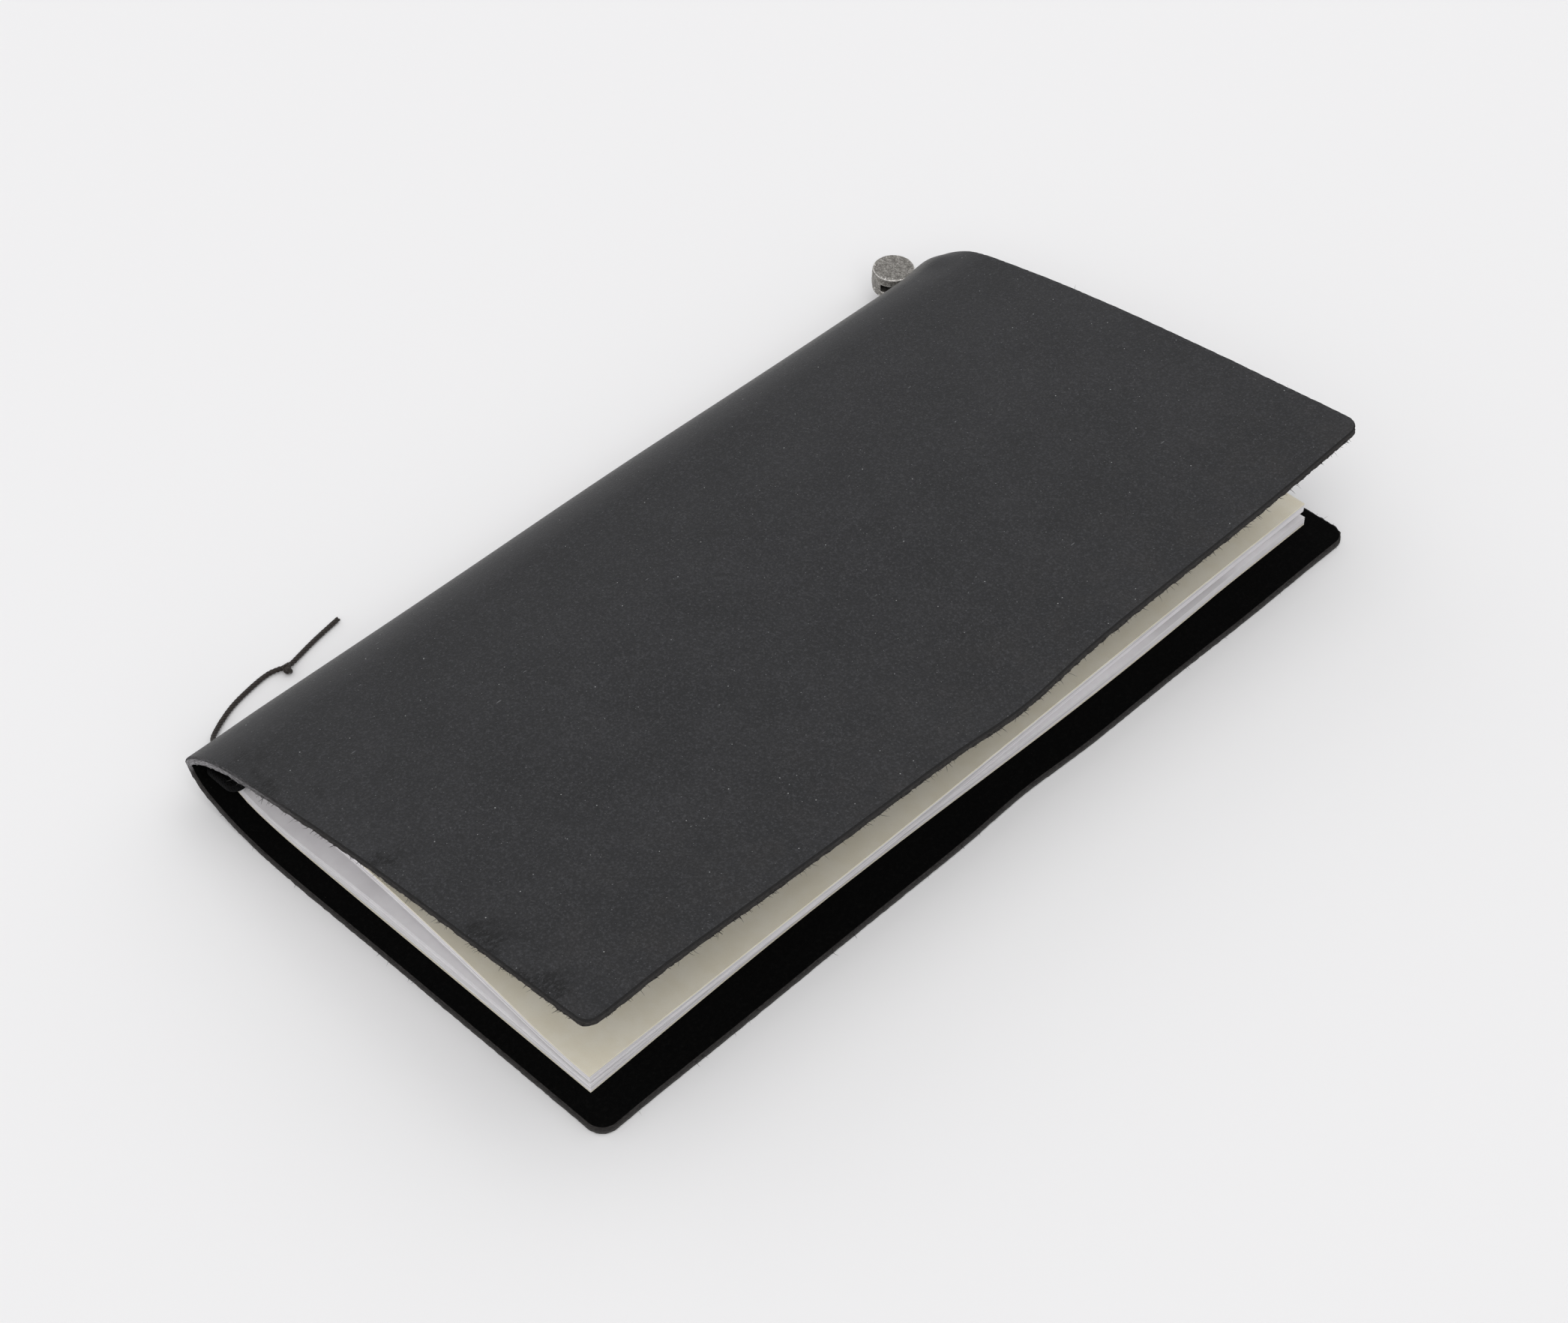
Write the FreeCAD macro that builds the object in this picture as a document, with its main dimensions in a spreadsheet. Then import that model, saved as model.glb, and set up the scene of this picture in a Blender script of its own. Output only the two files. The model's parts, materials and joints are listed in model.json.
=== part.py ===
import FreeCAD, Part
import Sketcher
import math
import os

# A leather notebook cover: one folded leather sheet that holds a stapled booklet by an elastic cord
# through its spine, with a small tin clasp and a bookmark cord at the back of the spine.
#
# Frame, in millimetres: +Z up, +Y along the spine, +X from the spine to the fore-edge.
# The origin is the centre of the rear cover's underside, which the object rests on.
# Outlines are drawn with x measured from the back of the spine, and every sub-part's Placement
# moves them by half the folded width.

os.makedirs("parts", exist_ok=True)
doc = FreeCAD.newDocument("LeatherNotebookCover")

# ---------------------------------------------------------------- driving dimensions

SIZES = [
    ("cover_length", 220.0),
    ("cover_width", 118.5),
    ("leather_thick", 1.75),
    ("cover_corner", 3.8),
    ("spine_hole", 3.4),
    ("hole_cut_depth", 10.5),
    ("booklet_length", 210.0),
    ("booklet_width", 110.0),
    ("card_thick", 0.3),
    ("block_thick", 0.4),
    ("block_pitch", 0.5),
    ("elastic_diameter", 1.6),
    ("bookmark_diameter", 1.1),
    ("staple_wire", 0.5),
    ("staple_crown", 12.0),
    ("clasp_diameter", 9.8),
    ("clasp_height", 5.6),
    ("clasp_slot", 2.0),
    ("clasp_wall", 1.3),
    ("clasp_edge", 0.45),
    ("knot_length", 2.6),
    ("knot_diameter", 2.1),
]

sheet = doc.addObject("Spreadsheet::Sheet", "sizes")
for row, (alias, value) in enumerate(SIZES, start=1):
    sheet.set(f"A{row}", alias)
    sheet.set(f"B{row}", str(value))
    sheet.setAlias(f"B{row}", alias)
doc.recompute()


def size(alias):
    """Value of one driving dimension."""
    return float(getattr(sheet, alias))


THICK = size("leather_thick")
SHIFT = FreeCAD.Vector(-size("cover_width") / 2, 0, 0)
BLOCKS = 4                      # leaf blocks in each half of the booklet, four sheets in each
NEAR = 0.01                     # two lengths closer than this are the same
nodes = []                      # every object that becomes a file


def finish(obj, label):
    """Gives a sub-part its label, which names its file, and its place."""
    obj.Label = label
    obj.Placement = FreeCAD.Placement(SHIFT, FreeCAD.Rotation())
    nodes.append(obj)
    return obj


# ---------------------------------------------------------------- curved leaves
# A leaf's line is a chain of tangent arcs in the XZ plane. Each run is (length, turn in degrees),
# and a positive turn bends the leaf upwards. A leaf is the band between two offsets of its line.


class Line:
    """A chain of tangent arcs from a start point and a start direction in degrees."""

    def __init__(self, start, heading, runs):
        self.start = start
        self.heading = heading
        self.runs = runs

    def stations(self):
        """Point and heading (radians) at the start of each run, and at the end."""
        x, z = self.start
        angle = math.radians(self.heading)
        result = [(x, z, angle)]
        for length, turn in self.runs:
            bend = math.radians(turn)
            chord = length if bend == 0 else 2 * length / bend * math.sin(bend / 2)
            x += chord * math.cos(angle + bend / 2)
            z += chord * math.sin(angle + bend / 2)
            angle += bend
            result.append((x, z, angle))
        return result

    def end(self):
        x, z, angle = self.stations()[-1]
        return x, z, math.degrees(angle)

    def edges(self, offset):
        """Edges of the line moved by an offset to its upper side."""
        result = []
        stops = self.stations()
        for (x0, z0, a0), (x1, z1, a1), (length, turn) in zip(stops, stops[1:], self.runs):
            first = beside(x0, z0, a0, offset)
            last = beside(x1, z1, a1, offset)
            if turn == 0:
                result.append(Part.LineSegment(first, last))
                continue
            radius = length / math.radians(turn)
            half = (a0 + a1) / 2
            centre_x = x0 - radius * math.sin(a0)
            centre_z = z0 + radius * math.cos(a0)
            reach = radius - offset
            middle = FreeCAD.Vector(centre_x + reach * math.sin(half), centre_z - reach * math.cos(half), 0)
            result.append(Part.Arc(first, middle, last))
        return result


def beside(x, z, angle, offset):
    """Sketch point at a distance to the upper side of a line's point."""
    return FreeCAD.Vector(x - offset * math.sin(angle), z + offset * math.cos(angle), 0)


def polar(centre, radius, degrees):
    """Sketch point at a radius and an angle from a centre."""
    angle = math.radians(degrees)
    return FreeCAD.Vector(centre[0] + radius * math.cos(angle), centre[1] + radius * math.sin(angle), 0)


def plane(body, role):
    """One of a body's own origin planes."""
    return next(feature for feature in body.Origin.OriginFeatures if feature.Role == role)


def sketch_on(body, role, name, offset=0.0):
    sketch = body.newObject("Sketcher::SketchObject", name)
    sketch.AttachmentSupport = [(plane(body, role), "")]
    sketch.MapMode = "FlatFace"
    sketch.AttachmentOffset = FreeCAD.Placement(FreeCAD.Vector(0, 0, offset), FreeCAD.Rotation())
    return sketch


def pad(body, sketch, alias, name="pad"):
    """Pads a sketch evenly to both sides of its plane by a sheet dimension."""
    feature = body.newObject("PartDesign::Pad", name)
    feature.Profile = sketch
    feature.SideType = "Symmetric"
    feature.setExpression("Length", f"sizes.{alias}")
    return feature


def pocket(body, sketch, alias, name):
    """Cuts a sketch evenly to both sides of its plane by a sheet dimension."""
    feature = body.newObject("PartDesign::Pocket", name)
    feature.Profile = sketch
    feature.SideType = "Symmetric"
    feature.setExpression("Length", f"sizes.{alias}")
    return feature


def leaf(label, line, low, high, length_alias, nose=None, round_start=False):
    """A body that is a band between two offsets of a line, padded along the spine.

    nose gives the angle at which a folded sheet's nose, round the line's start, begins.
    round_start closes the start with a half round.
    """
    body = doc.addObject("PartDesign::Body", label + "_body")
    sketch = sketch_on(body, "XZ_Plane", label + "_outline")
    for curve in line.edges(low) + line.edges(high):
        sketch.addGeometry(curve)
    x, z, angle = line.stations()[-1]
    sketch.addGeometry(Part.LineSegment(beside(x, z, angle, low), beside(x, z, angle, high)))
    x, z, angle = line.stations()[0]
    first, last = beside(x, z, angle, low), beside(x, z, angle, high)
    if round_start:
        back = polar(line.start, (high - low) / 2, line.heading + 180)
        sketch.addGeometry(Part.Arc(first, back, last))
    elif nose is None:
        sketch.addGeometry(Part.LineSegment(first, last))
    else:
        stop = line.heading - 90 + 360
        half = (nose + stop) / 2
        for radius, point in ((-low, first), (-high, last)):
            arc_end = polar(line.start, radius, nose)
            sketch.addGeometry(Part.Arc(point, polar(line.start, radius, half), arc_end))
        sketch.addGeometry(Part.LineSegment(polar(line.start, -low, nose), polar(line.start, -high, nose)))
    pad(body, sketch, length_alias)
    return finish(body, label)


def relieve(body, centre, radius, length_alias):
    """Cuts a leaf back to a cylinder round its fold, so that it can turn there."""
    sketch = sketch_on(body, "XZ_Plane", body.Label + "_relief")
    circle = Part.Circle(FreeCAD.Vector(centre[0], centre[1], 0), FreeCAD.Vector(0, 0, 1), radius)
    sketch.addGeometry(circle)
    return pocket(body, sketch, length_alias, "relief")


def round_corners(body, end):
    """Rounds the two corners of a leaf at its fore-edge."""
    doc.recompute()
    base = body.Tip
    half = size("cover_length") / 2
    names = []
    for index, edge in enumerate(base.Shape.Edges, start=1):
        centre = edge.CenterOfMass
        at_end = abs(abs(centre.y) - half) < NEAR and abs(centre.x - end[0]) < THICK
        if at_end and abs(edge.Length - THICK) < NEAR:
            names.append(f"Edge{index}")
    fillet = body.newObject("PartDesign::Fillet", "corners")
    fillet.Base = (base, names)
    fillet.setExpression("Radius", "sizes.cover_corner")
    return fillet


# ---------------------------------------------------------------- the leather sheet
# The sheet folds at FOLD. From there the rear leaf bends down to lie flat, and the front leaf rises
# in a flattening arch. The rear leaf carries the spine holes. A strip next to the fold turns on the
# fold's axis, and the front leaf flexes on the strip.

REAR_BEND = [(8, 46), (12, 18.5), (12, 5.5)]
rear_heading = -sum(turn for _, turn in REAR_BEND)
FOLD_X = 0.4
drop = Line((0, 0), rear_heading, REAR_BEND).end()
FOLD = (FOLD_X, THICK / 2 - drop[1])
rear_flat = size("cover_width") - FOLD_X - drop[0]
rear_line = Line(FOLD, rear_heading, REAR_BEND + [(rear_flat, 0)])

FRONT_HEADING = 62.5
STRIP_RUNS = [(3, -24), (6, -12), (8, -13.5)]
FRONT_RUNS = [(20, -3.8), (30, -2.7), (53, -1.3)]
SEAM_GAP = 0.1                  # between the strip and the front leaf
FOLD_RELIEF = 2.1               # the strip starts this far from the fold's axis
strip_line = Line(FOLD, FRONT_HEADING, STRIP_RUNS)
seam_x, seam_z, seam_heading = strip_line.end()
seam_angle = math.radians(seam_heading)
front_start = (seam_x + SEAM_GAP * math.cos(seam_angle), seam_z + SEAM_GAP * math.sin(seam_angle))
front_line = Line(front_start, seam_heading, FRONT_RUNS)

HOLE_HEIGHT = 7.5
LOWER_HOLES = (-103.9, -96.55)
MIDDLE_HOLE = 0.0               # for a closing band, which this object doesn't have fitted
UPPER_HOLES = (97.6, 102.6)

rear_cover = leaf("rear_cover", rear_line, -THICK / 2, THICK / 2, "cover_length", round_start=True)
holes = sketch_on(rear_cover, "YZ_Plane", "spine_holes")
for hole_y in LOWER_HOLES + (MIDDLE_HOLE,) + UPPER_HOLES:
    centre = FreeCAD.Vector(hole_y, HOLE_HEIGHT, 0)
    index = holes.addGeometry(Part.Circle(centre, FreeCAD.Vector(0, 0, 1), size("spine_hole") / 2))
    radius = holes.addConstraint(Sketcher.Constraint("Radius", index, size("spine_hole") / 2))
    holes.setExpression(f"Constraints[{radius}]", "sizes.spine_hole / 2")
pocket(rear_cover, holes, "hole_cut_depth", "hole_cut")
round_corners(rear_cover, rear_line.end())

fold_strip = leaf("spine_strip", strip_line, -THICK / 2, THICK / 2, "cover_length")
relieve(fold_strip, FOLD, FOLD_RELIEF, "cover_length")

front_cover = leaf("front_cover", front_line, -THICK / 2, THICK / 2, "cover_length")
round_corners(front_cover, front_line.end())

# ---------------------------------------------------------------- the booklet
# Sheets and card are folded together round BOOK_FOLD. Each half is made as its own leaves, because
# the front half turns. The rear leaves carry the folded nose, and the front leaves start just
# outside it.

CARD_INNER = BLOCKS * size("block_pitch") + 0.1
CARD_OUTER = CARD_INNER + size("card_thick")
FIRST_OFFSET = 0.1              # half of the opening at the innermost fold
UNDER_CARD = 0.12               # clearance of the card above the leather
BACK_BEND = [(2.5, 34), (6, 18), (12, 8)]
back_heading = -sum(turn for _, turn in BACK_BEND)
fall = Line((0, 0), back_heading, BACK_BEND).end()
BOOK_FOLD = (7.6, THICK + UNDER_CARD + CARD_OUTER - fall[1])
back_flat = size("booklet_width") - BOOK_FOLD[0] - fall[0]
back_line = Line(BOOK_FOLD, back_heading, BACK_BEND + [(back_flat, 0)])

PAGE_HEADING = 27.25
PAGE_RUNS = [(8, -18.5), (16, -6), (18, -7.5), (22, -4), (22, -2), (17.5, 10.5)]
page_line = Line(BOOK_FOLD, PAGE_HEADING, PAGE_RUNS)
NOSE_START = PAGE_HEADING + 90
PAGE_RELIEF = CARD_OUTER + size("staple_wire") + 0.25

for number in range(1, BLOCKS + 1):
    inner = FIRST_OFFSET + (number - 1) * size("block_pitch")
    outer = inner + size("block_thick")
    leaf(f"rear_leaves_{number}", back_line, -inner, -outer, "booklet_length", nose=NOSE_START)
    front_leaves = leaf(f"front_leaves_{number}", page_line, inner, outer, "booklet_length")
    relieve(front_leaves, BOOK_FOLD, PAGE_RELIEF, "booklet_length")

leaf("rear_card", back_line, -CARD_INNER, -CARD_OUTER, "booklet_length", nose=NOSE_START)
front_card = leaf("front_card", page_line, CARD_INNER, CARD_OUTER, "booklet_length")
relieve(front_card, BOOK_FOLD, PAGE_RELIEF, "booklet_length")

# ---------------------------------------------------------------- cords
# A cord's path is straight runs joined by tangent arcs.


def corner_radius(before, point, after, limit):
    """Radius of the arc at a point of a route, from its shorter run and its turn."""
    turn = (point - before).getAngle(after - point)
    shorter = min((point - before).Length, (after - point).Length)
    return min(limit, 0.45 * shorter / math.tan(turn / 2))


def cord_path(points, limit):
    """Wire of runs and tangent arcs through the points, and the radii of its arcs."""
    route = [FreeCAD.Vector(*point) for point in points]
    edges = []
    radii = []
    start = route[0]
    for before, point, after in zip(route, route[1:], route[2:]):
        radius = corner_radius(before, point, after, limit)
        back = (before - point).normalize()
        ahead = (after - point).normalize()
        turn = math.pi - back.getAngle(ahead)
        reach = radius * math.tan(turn / 2)
        bisector = (back + ahead).normalize()
        depth = radius / math.cos(turn / 2) - radius
        enter = point + back * reach
        leave = point + ahead * reach
        edges.append(Part.LineSegment(start, enter).toShape())
        edges.append(Part.Arc(enter, point + bisector * depth, leave).toShape())
        radii.append(radius)
        start = leave
    edges.append(Part.LineSegment(start, route[-1]).toShape())
    return Part.Wire(edges), radii


def cord_shape(points, diameter, limit=1000.0):
    """Solid tube of one diameter along a route, with its radii and length."""
    path, radii = cord_path(points, limit)
    tangent = FreeCAD.Vector(*points[1]) - FreeCAD.Vector(*points[0])
    ring = Part.Circle(FreeCAD.Vector(*points[0]), tangent, diameter / 2)
    tube = path.makePipeShell([Part.Wire([ring.toShape()])], True, False)
    expected = math.pi * diameter ** 2 / 4 * path.Length
    if abs(tube.Volume / expected - 1) > 0.02:
        raise RuntimeError(f"tube volume {tube.Volume:.2f}, expected {expected:.2f}")
    return tube, radii, path.Length


def cord(label, routes, alias, limit=1000.0):
    """A node of one or more tubes."""
    tubes = []
    for points in routes:
        tube, radii, length = cord_shape(points, size(alias), limit)
        tubes.append(tube)
        print(label, "length", round(length, 1), "radii", [round(radius, 1) for radius in radii])
    feature = doc.addObject("Part::Feature", label + "_shape")
    feature.Shape = tubes[0] if len(tubes) == 1 else Part.makeCompound(tubes)
    return finish(feature, label)


# The elastic: two strands lie in the booklet's centre fold. Each goes round both ends of the
# booklet's spine into the channel between booklet and leather, and out through a spine hole.
# The lower ends join in one stitch outside the spine. The upper ends go on to the clasp.
HALF_BOOK = size("booklet_length") / 2
MOUTH_X = 0.7                   # where cords leave the spine holes
ELASTIC_LIMIT = 1.7
near_end = HALF_BOOK + size("elastic_diameter") / 2 + 0.12
far_end = near_end + size("elastic_diameter") + 0.06
ELASTIC = [
    (MOUTH_X, UPPER_HOLES[0], 7.2),
    (4.6, UPPER_HOLES[0], 7.1),
    (4.6, near_end, 7.3),
    (9.7, near_end, 8.3),
    (9.7, -near_end, 8.3),
    (4.6, -near_end, 7.3),
    (4.6, -97.35, 7.1),
    (-0.15, -97.35, 6.7),
    (-0.15, LOWER_HOLES[0], 6.7),
    (3.35, LOWER_HOLES[0], 8.1),
    (3.35, -far_end, 9.0),
    (11.5, -far_end, 8.9),
    (11.5, far_end, 8.9),
    (3.35, far_end, 9.0),
    (3.35, 103.3, 8.1),
    (MOUTH_X, 103.3, 7.2),
]
cord("spine_elastic", [ELASTIC], "elastic_diameter", ELASTIC_LIMIT)

# The bookmark cord runs inside the spine from the upper hole to a lower one.
BOOKMARK_INSIDE = [
    (MOUTH_X, 101.8, 7.2),
    (3.1, 101.8, 8.2),
    (2.75, 98.2, 9.75),
    (2.75, -92.1, 9.75),
    (3.1, -95.75, 8.2),
    (MOUTH_X, -95.75, 7.1),
]
cord("bookmark_inner_run", [BOOKMARK_INSIDE], "bookmark_diameter")

# Its free tail drops from the hole to the table and lies in a loose curve, with a knot near its end.
TAIL = [
    (MOUTH_X, -95.75, 7.1),
    (-1.8, -96.6, 5.9),
    (-3.7, -97.9, 4.4),
    (-5.6, -98.9, 2.9),
    (-7.5, -98.8, 1.7),
    (-9.1, -97.6, 1.05),
    (-10.55, -95.4, 0.8),
    (-12.05, -92.5, 0.7),
    (-13.45, -89.1, 0.65),
    (-14.35, -85.4, 0.64),
    (-15.05, -81.4, 0.65),
    (-15.35, -78.3, 0.68),
    (-14.75, -76.2, 0.8),
    (-13.95, -74.7, 0.95),
    (-14.0, -73.1, 0.8),
    (-14.8, -70.4, 0.66),
    (-15.95, -65.8, 0.64),
    (-16.65, -61.8, 0.66),
    (-17.35, -57.85, 0.63),
]
cord("bookmark_tail", [TAIL], "bookmark_diameter")

KNOT_CENTRE = FreeCAD.Vector(-13.6, -74.95, 1.12)
KNOT_TURN = 71.0                # the cord's way through the knot, in degrees from +X; it's longest across
knot = doc.addObject("Part::Ellipsoid", "knot_shape")
knot.setExpression("Radius1", "sizes.knot_diameter / 2")
knot.setExpression("Radius2", "sizes.knot_length / 2")
knot.setExpression("Radius3", "sizes.knot_diameter / 2")
finish(knot, "bookmark_knot")
knot.Placement = FreeCAD.Placement(KNOT_CENTRE + SHIFT, FreeCAD.Rotation(FreeCAD.Vector(0, 0, 1), KNOT_TURN))

# ---------------------------------------------------------------- staples
# Two wire staples hold the booklet: a crown behind the nose, and legs clinched inside the fold.
STAPLE_Y = 52.0
crown_x = BOOK_FOLD[0] - CARD_OUTER - size("staple_wire") / 2
clinch_x = BOOK_FOLD[0] + FIRST_OFFSET + size("staple_wire") / 2 + 0.05
STAPLE_TURN = 0.6
CLINCH_GAP = 2.4                # between the tips of the two legs
half_crown = size("staple_crown") / 2
half_gap = CLINCH_GAP / 2
staple_routes = []
for middle in (-STAPLE_Y, STAPLE_Y):
    staple_route = [
        (clinch_x, middle - half_gap, BOOK_FOLD[1]),
        (clinch_x, middle - half_crown, BOOK_FOLD[1]),
        (crown_x, middle - half_crown, BOOK_FOLD[1]),
        (crown_x, middle + half_crown, BOOK_FOLD[1]),
        (clinch_x, middle + half_crown, BOOK_FOLD[1]),
        (clinch_x, middle + half_gap, BOOK_FOLD[1]),
    ]
    staple_routes.append(staple_route)
cord("staples", staple_routes, "staple_wire", STAPLE_TURN)

# ---------------------------------------------------------------- the clasp
# A clam-shell of two thick tin discs joined by a wall on the side away from the spine. It grips the
# two ends of the elastic and the upper end of the bookmark.
CLASP_CENTRE = (-6.05, 100.0)
CLASP_MIDDLE = 7.2
clasp = doc.addObject("PartDesign::Body", "clasp_body")
disc = sketch_on(clasp, "XY_Plane", "clasp_disc", CLASP_MIDDLE)
ring = Part.Circle(FreeCAD.Vector(*CLASP_CENTRE, 0), FreeCAD.Vector(0, 0, 1), size("clasp_diameter") / 2)
disc.addGeometry(ring)
disc.addConstraint(Sketcher.Constraint("Radius", 0, size("clasp_diameter") / 2))
disc.setExpression("Constraints[0]", "sizes.clasp_diameter / 2")
pad(clasp, disc, "clasp_height")
slot = sketch_on(clasp, "XY_Plane", "clasp_slot_outline", CLASP_MIDDLE)
slot_centre = FreeCAD.Vector(CLASP_CENTRE[0] + size("clasp_wall"), CLASP_CENTRE[1], 0)
slot.addGeometry(Part.Circle(slot_centre, FreeCAD.Vector(0, 0, 1), size("clasp_diameter") / 2))
mouth = pocket(clasp, slot, "clasp_slot", "mouth")
doc.recompute()
rims = []
for index, edge in enumerate(clasp.Tip.Shape.Edges, start=1):
    height = abs(edge.CenterOfMass.z - CLASP_MIDDLE)
    if abs(height - size("clasp_height") / 2) < NEAR:
        rims.append(f"Edge{index}")
worn_edge = clasp.newObject("PartDesign::Fillet", "worn_edge")
worn_edge.Base = (mouth, rims)
worn_edge.setExpression("Radius", "sizes.clasp_edge")
finish(clasp, "clasp")

GRIP_X = -6.4                   # how far the cords reach into the clasp
STUB_GAP = 0.65
stub_x = MOUTH_X - STUB_GAP
ELASTIC_ENDS = [
    [(stub_x, 97.6, 7.2), (-2.4, 98.2, 7.25), (GRIP_X, 98.3, 7.2)],
    [(stub_x, 103.3, 7.2), (-2.4, 102.1, 7.25), (GRIP_X, 101.8, 7.2)],
]
cord("elastic_ends", ELASTIC_ENDS, "elastic_diameter")
BOOKMARK_END = [(stub_x, 101.8, 7.2), (-2.2, 100.5, 7.25), (GRIP_X, 100.0, 7.2)]
cord("bookmark_upper_end", [BOOKMARK_END], "bookmark_diameter")

# ---------------------------------------------------------------- joint axes, for the record
print("fold axis x, z:", round(FOLD[0] + SHIFT.x, 3), round(FOLD[1], 3))
pivot = beside(front_start[0], front_start[1], seam_angle, -THICK / 2)
print("flex axis x, z:", round(pivot.x + SHIFT.x, 3), round(pivot.y, 3))
print("booklet fold x, z:", round(BOOK_FOLD[0] + SHIFT.x, 3), round(BOOK_FOLD[1], 3))

# ---------------------------------------------------------------- check and write
doc.recompute()
for obj in doc.Objects:
    if "Invalid" in obj.State or "Error" in obj.State:
        raise RuntimeError(f"{obj.Name} failed: {obj.State}")
for obj in nodes:
    shape = obj.Shape
    if shape.isNull() or not shape.isValid():
        raise RuntimeError(f"{obj.Label} has no valid shape")
    box = shape.BoundBox
    print(f"{obj.Label:20s} solids {len(shape.Solids)} volume {shape.Volume:9.1f}"
          f"  x {box.XMin:7.2f} {box.XMax:7.2f}  y {box.YMin:7.2f} {box.YMax:7.2f}"
          f"  z {box.ZMin:6.2f} {box.ZMax:6.2f}")
    shape.exportStep(f"parts/{obj.Label}.step")
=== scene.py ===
import json
import math
import random

import bmesh
import bpy
import numpy as np
from mathutils import Matrix, Vector, noise


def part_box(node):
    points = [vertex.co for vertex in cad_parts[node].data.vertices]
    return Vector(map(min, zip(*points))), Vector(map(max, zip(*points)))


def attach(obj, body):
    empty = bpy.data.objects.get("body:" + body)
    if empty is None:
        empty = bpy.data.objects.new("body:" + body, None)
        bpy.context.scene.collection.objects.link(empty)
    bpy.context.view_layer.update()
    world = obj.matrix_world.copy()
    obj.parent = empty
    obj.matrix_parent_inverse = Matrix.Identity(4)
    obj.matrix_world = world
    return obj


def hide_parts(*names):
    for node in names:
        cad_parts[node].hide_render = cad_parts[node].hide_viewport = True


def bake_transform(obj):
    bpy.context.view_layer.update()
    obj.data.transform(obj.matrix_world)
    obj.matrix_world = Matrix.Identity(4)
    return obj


# A leather notebook cover with its booklet, elastic, clasp and bookmark cord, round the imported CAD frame.
# The scene is in metres in the CAD frame: +Y along the spine, +X to the fore-edge, +Z up.
# Tables of shapes are in millimetres, and MM turns them into metres.

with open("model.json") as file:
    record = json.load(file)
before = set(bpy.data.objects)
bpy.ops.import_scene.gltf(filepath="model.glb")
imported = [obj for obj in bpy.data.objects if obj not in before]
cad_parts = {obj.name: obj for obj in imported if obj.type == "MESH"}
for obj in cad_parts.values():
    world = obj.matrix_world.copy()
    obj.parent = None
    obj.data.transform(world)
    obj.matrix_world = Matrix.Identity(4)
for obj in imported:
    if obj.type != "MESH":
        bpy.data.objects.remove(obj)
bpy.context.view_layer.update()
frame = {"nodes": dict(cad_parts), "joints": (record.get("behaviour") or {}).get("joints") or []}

MM = 0.001
SEED = 7
JOINTS = {joint["name"]: joint for joint in frame["joints"]}
FOLD = Vector(JOINTS["spine_fold"]["pos_m"])
BOOK_FOLD = Vector(JOINTS["front_card_turn"]["pos_m"])
COVER_LOW, COVER_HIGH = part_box("rear_cover")
CARD_LOW, CARD_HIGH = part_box("rear_card")
CLASP_LOW, CLASP_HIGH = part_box("clasp")
KNOT_LOW, KNOT_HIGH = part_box("bookmark_knot")


def add_object(name, data):
    """A new object in the scene."""
    thing = bpy.data.objects.new(name, data)
    bpy.context.scene.collection.objects.link(thing)
    return thing


def away(azimuth, elevation):
    """Unit vector towards a place in the room, in degrees. Azimuth 0 is at -Y and 90 at +X."""
    turn, rise = math.radians(azimuth), math.radians(elevation)
    level = math.cos(rise)
    return Vector((math.sin(turn) * level, -math.cos(turn) * level, math.sin(rise)))


def face_back(thing, direction):
    """Turns a camera or lamp that stands in this direction to look back at the middle."""
    thing.rotation_mode = "QUATERNION"
    thing.rotation_quaternion = (-direction).to_track_quat("-Z", "Y")


# ---------------------------------------------------------------- camera

CAMERA_AZIMUTH = 44.41
CAMERA_ELEVATION = 45.86
CAMERA_TARGET = Vector((-1.55, -0.91, 0.0)) * MM
CAMERA_DISTANCE = 0.657
CAMERA_LENS = 72.8              # mm, on a sensor 36 mm wide


def make_camera():
    """The photograph's view: from the fore-edge's near corner, looking down over the cover."""
    data = bpy.data.cameras.new("camera")
    data.sensor_width = 36.0
    data.lens = CAMERA_LENS
    data.clip_start = 0.01
    camera = add_object("camera", data)
    back = away(CAMERA_AZIMUTH, CAMERA_ELEVATION)
    camera.location = CAMERA_TARGET + back * CAMERA_DISTANCE
    face_back(camera, back)
    bpy.context.scene.camera = camera


make_camera()


# ---------------------------------------------------------------- material nodes

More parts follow.
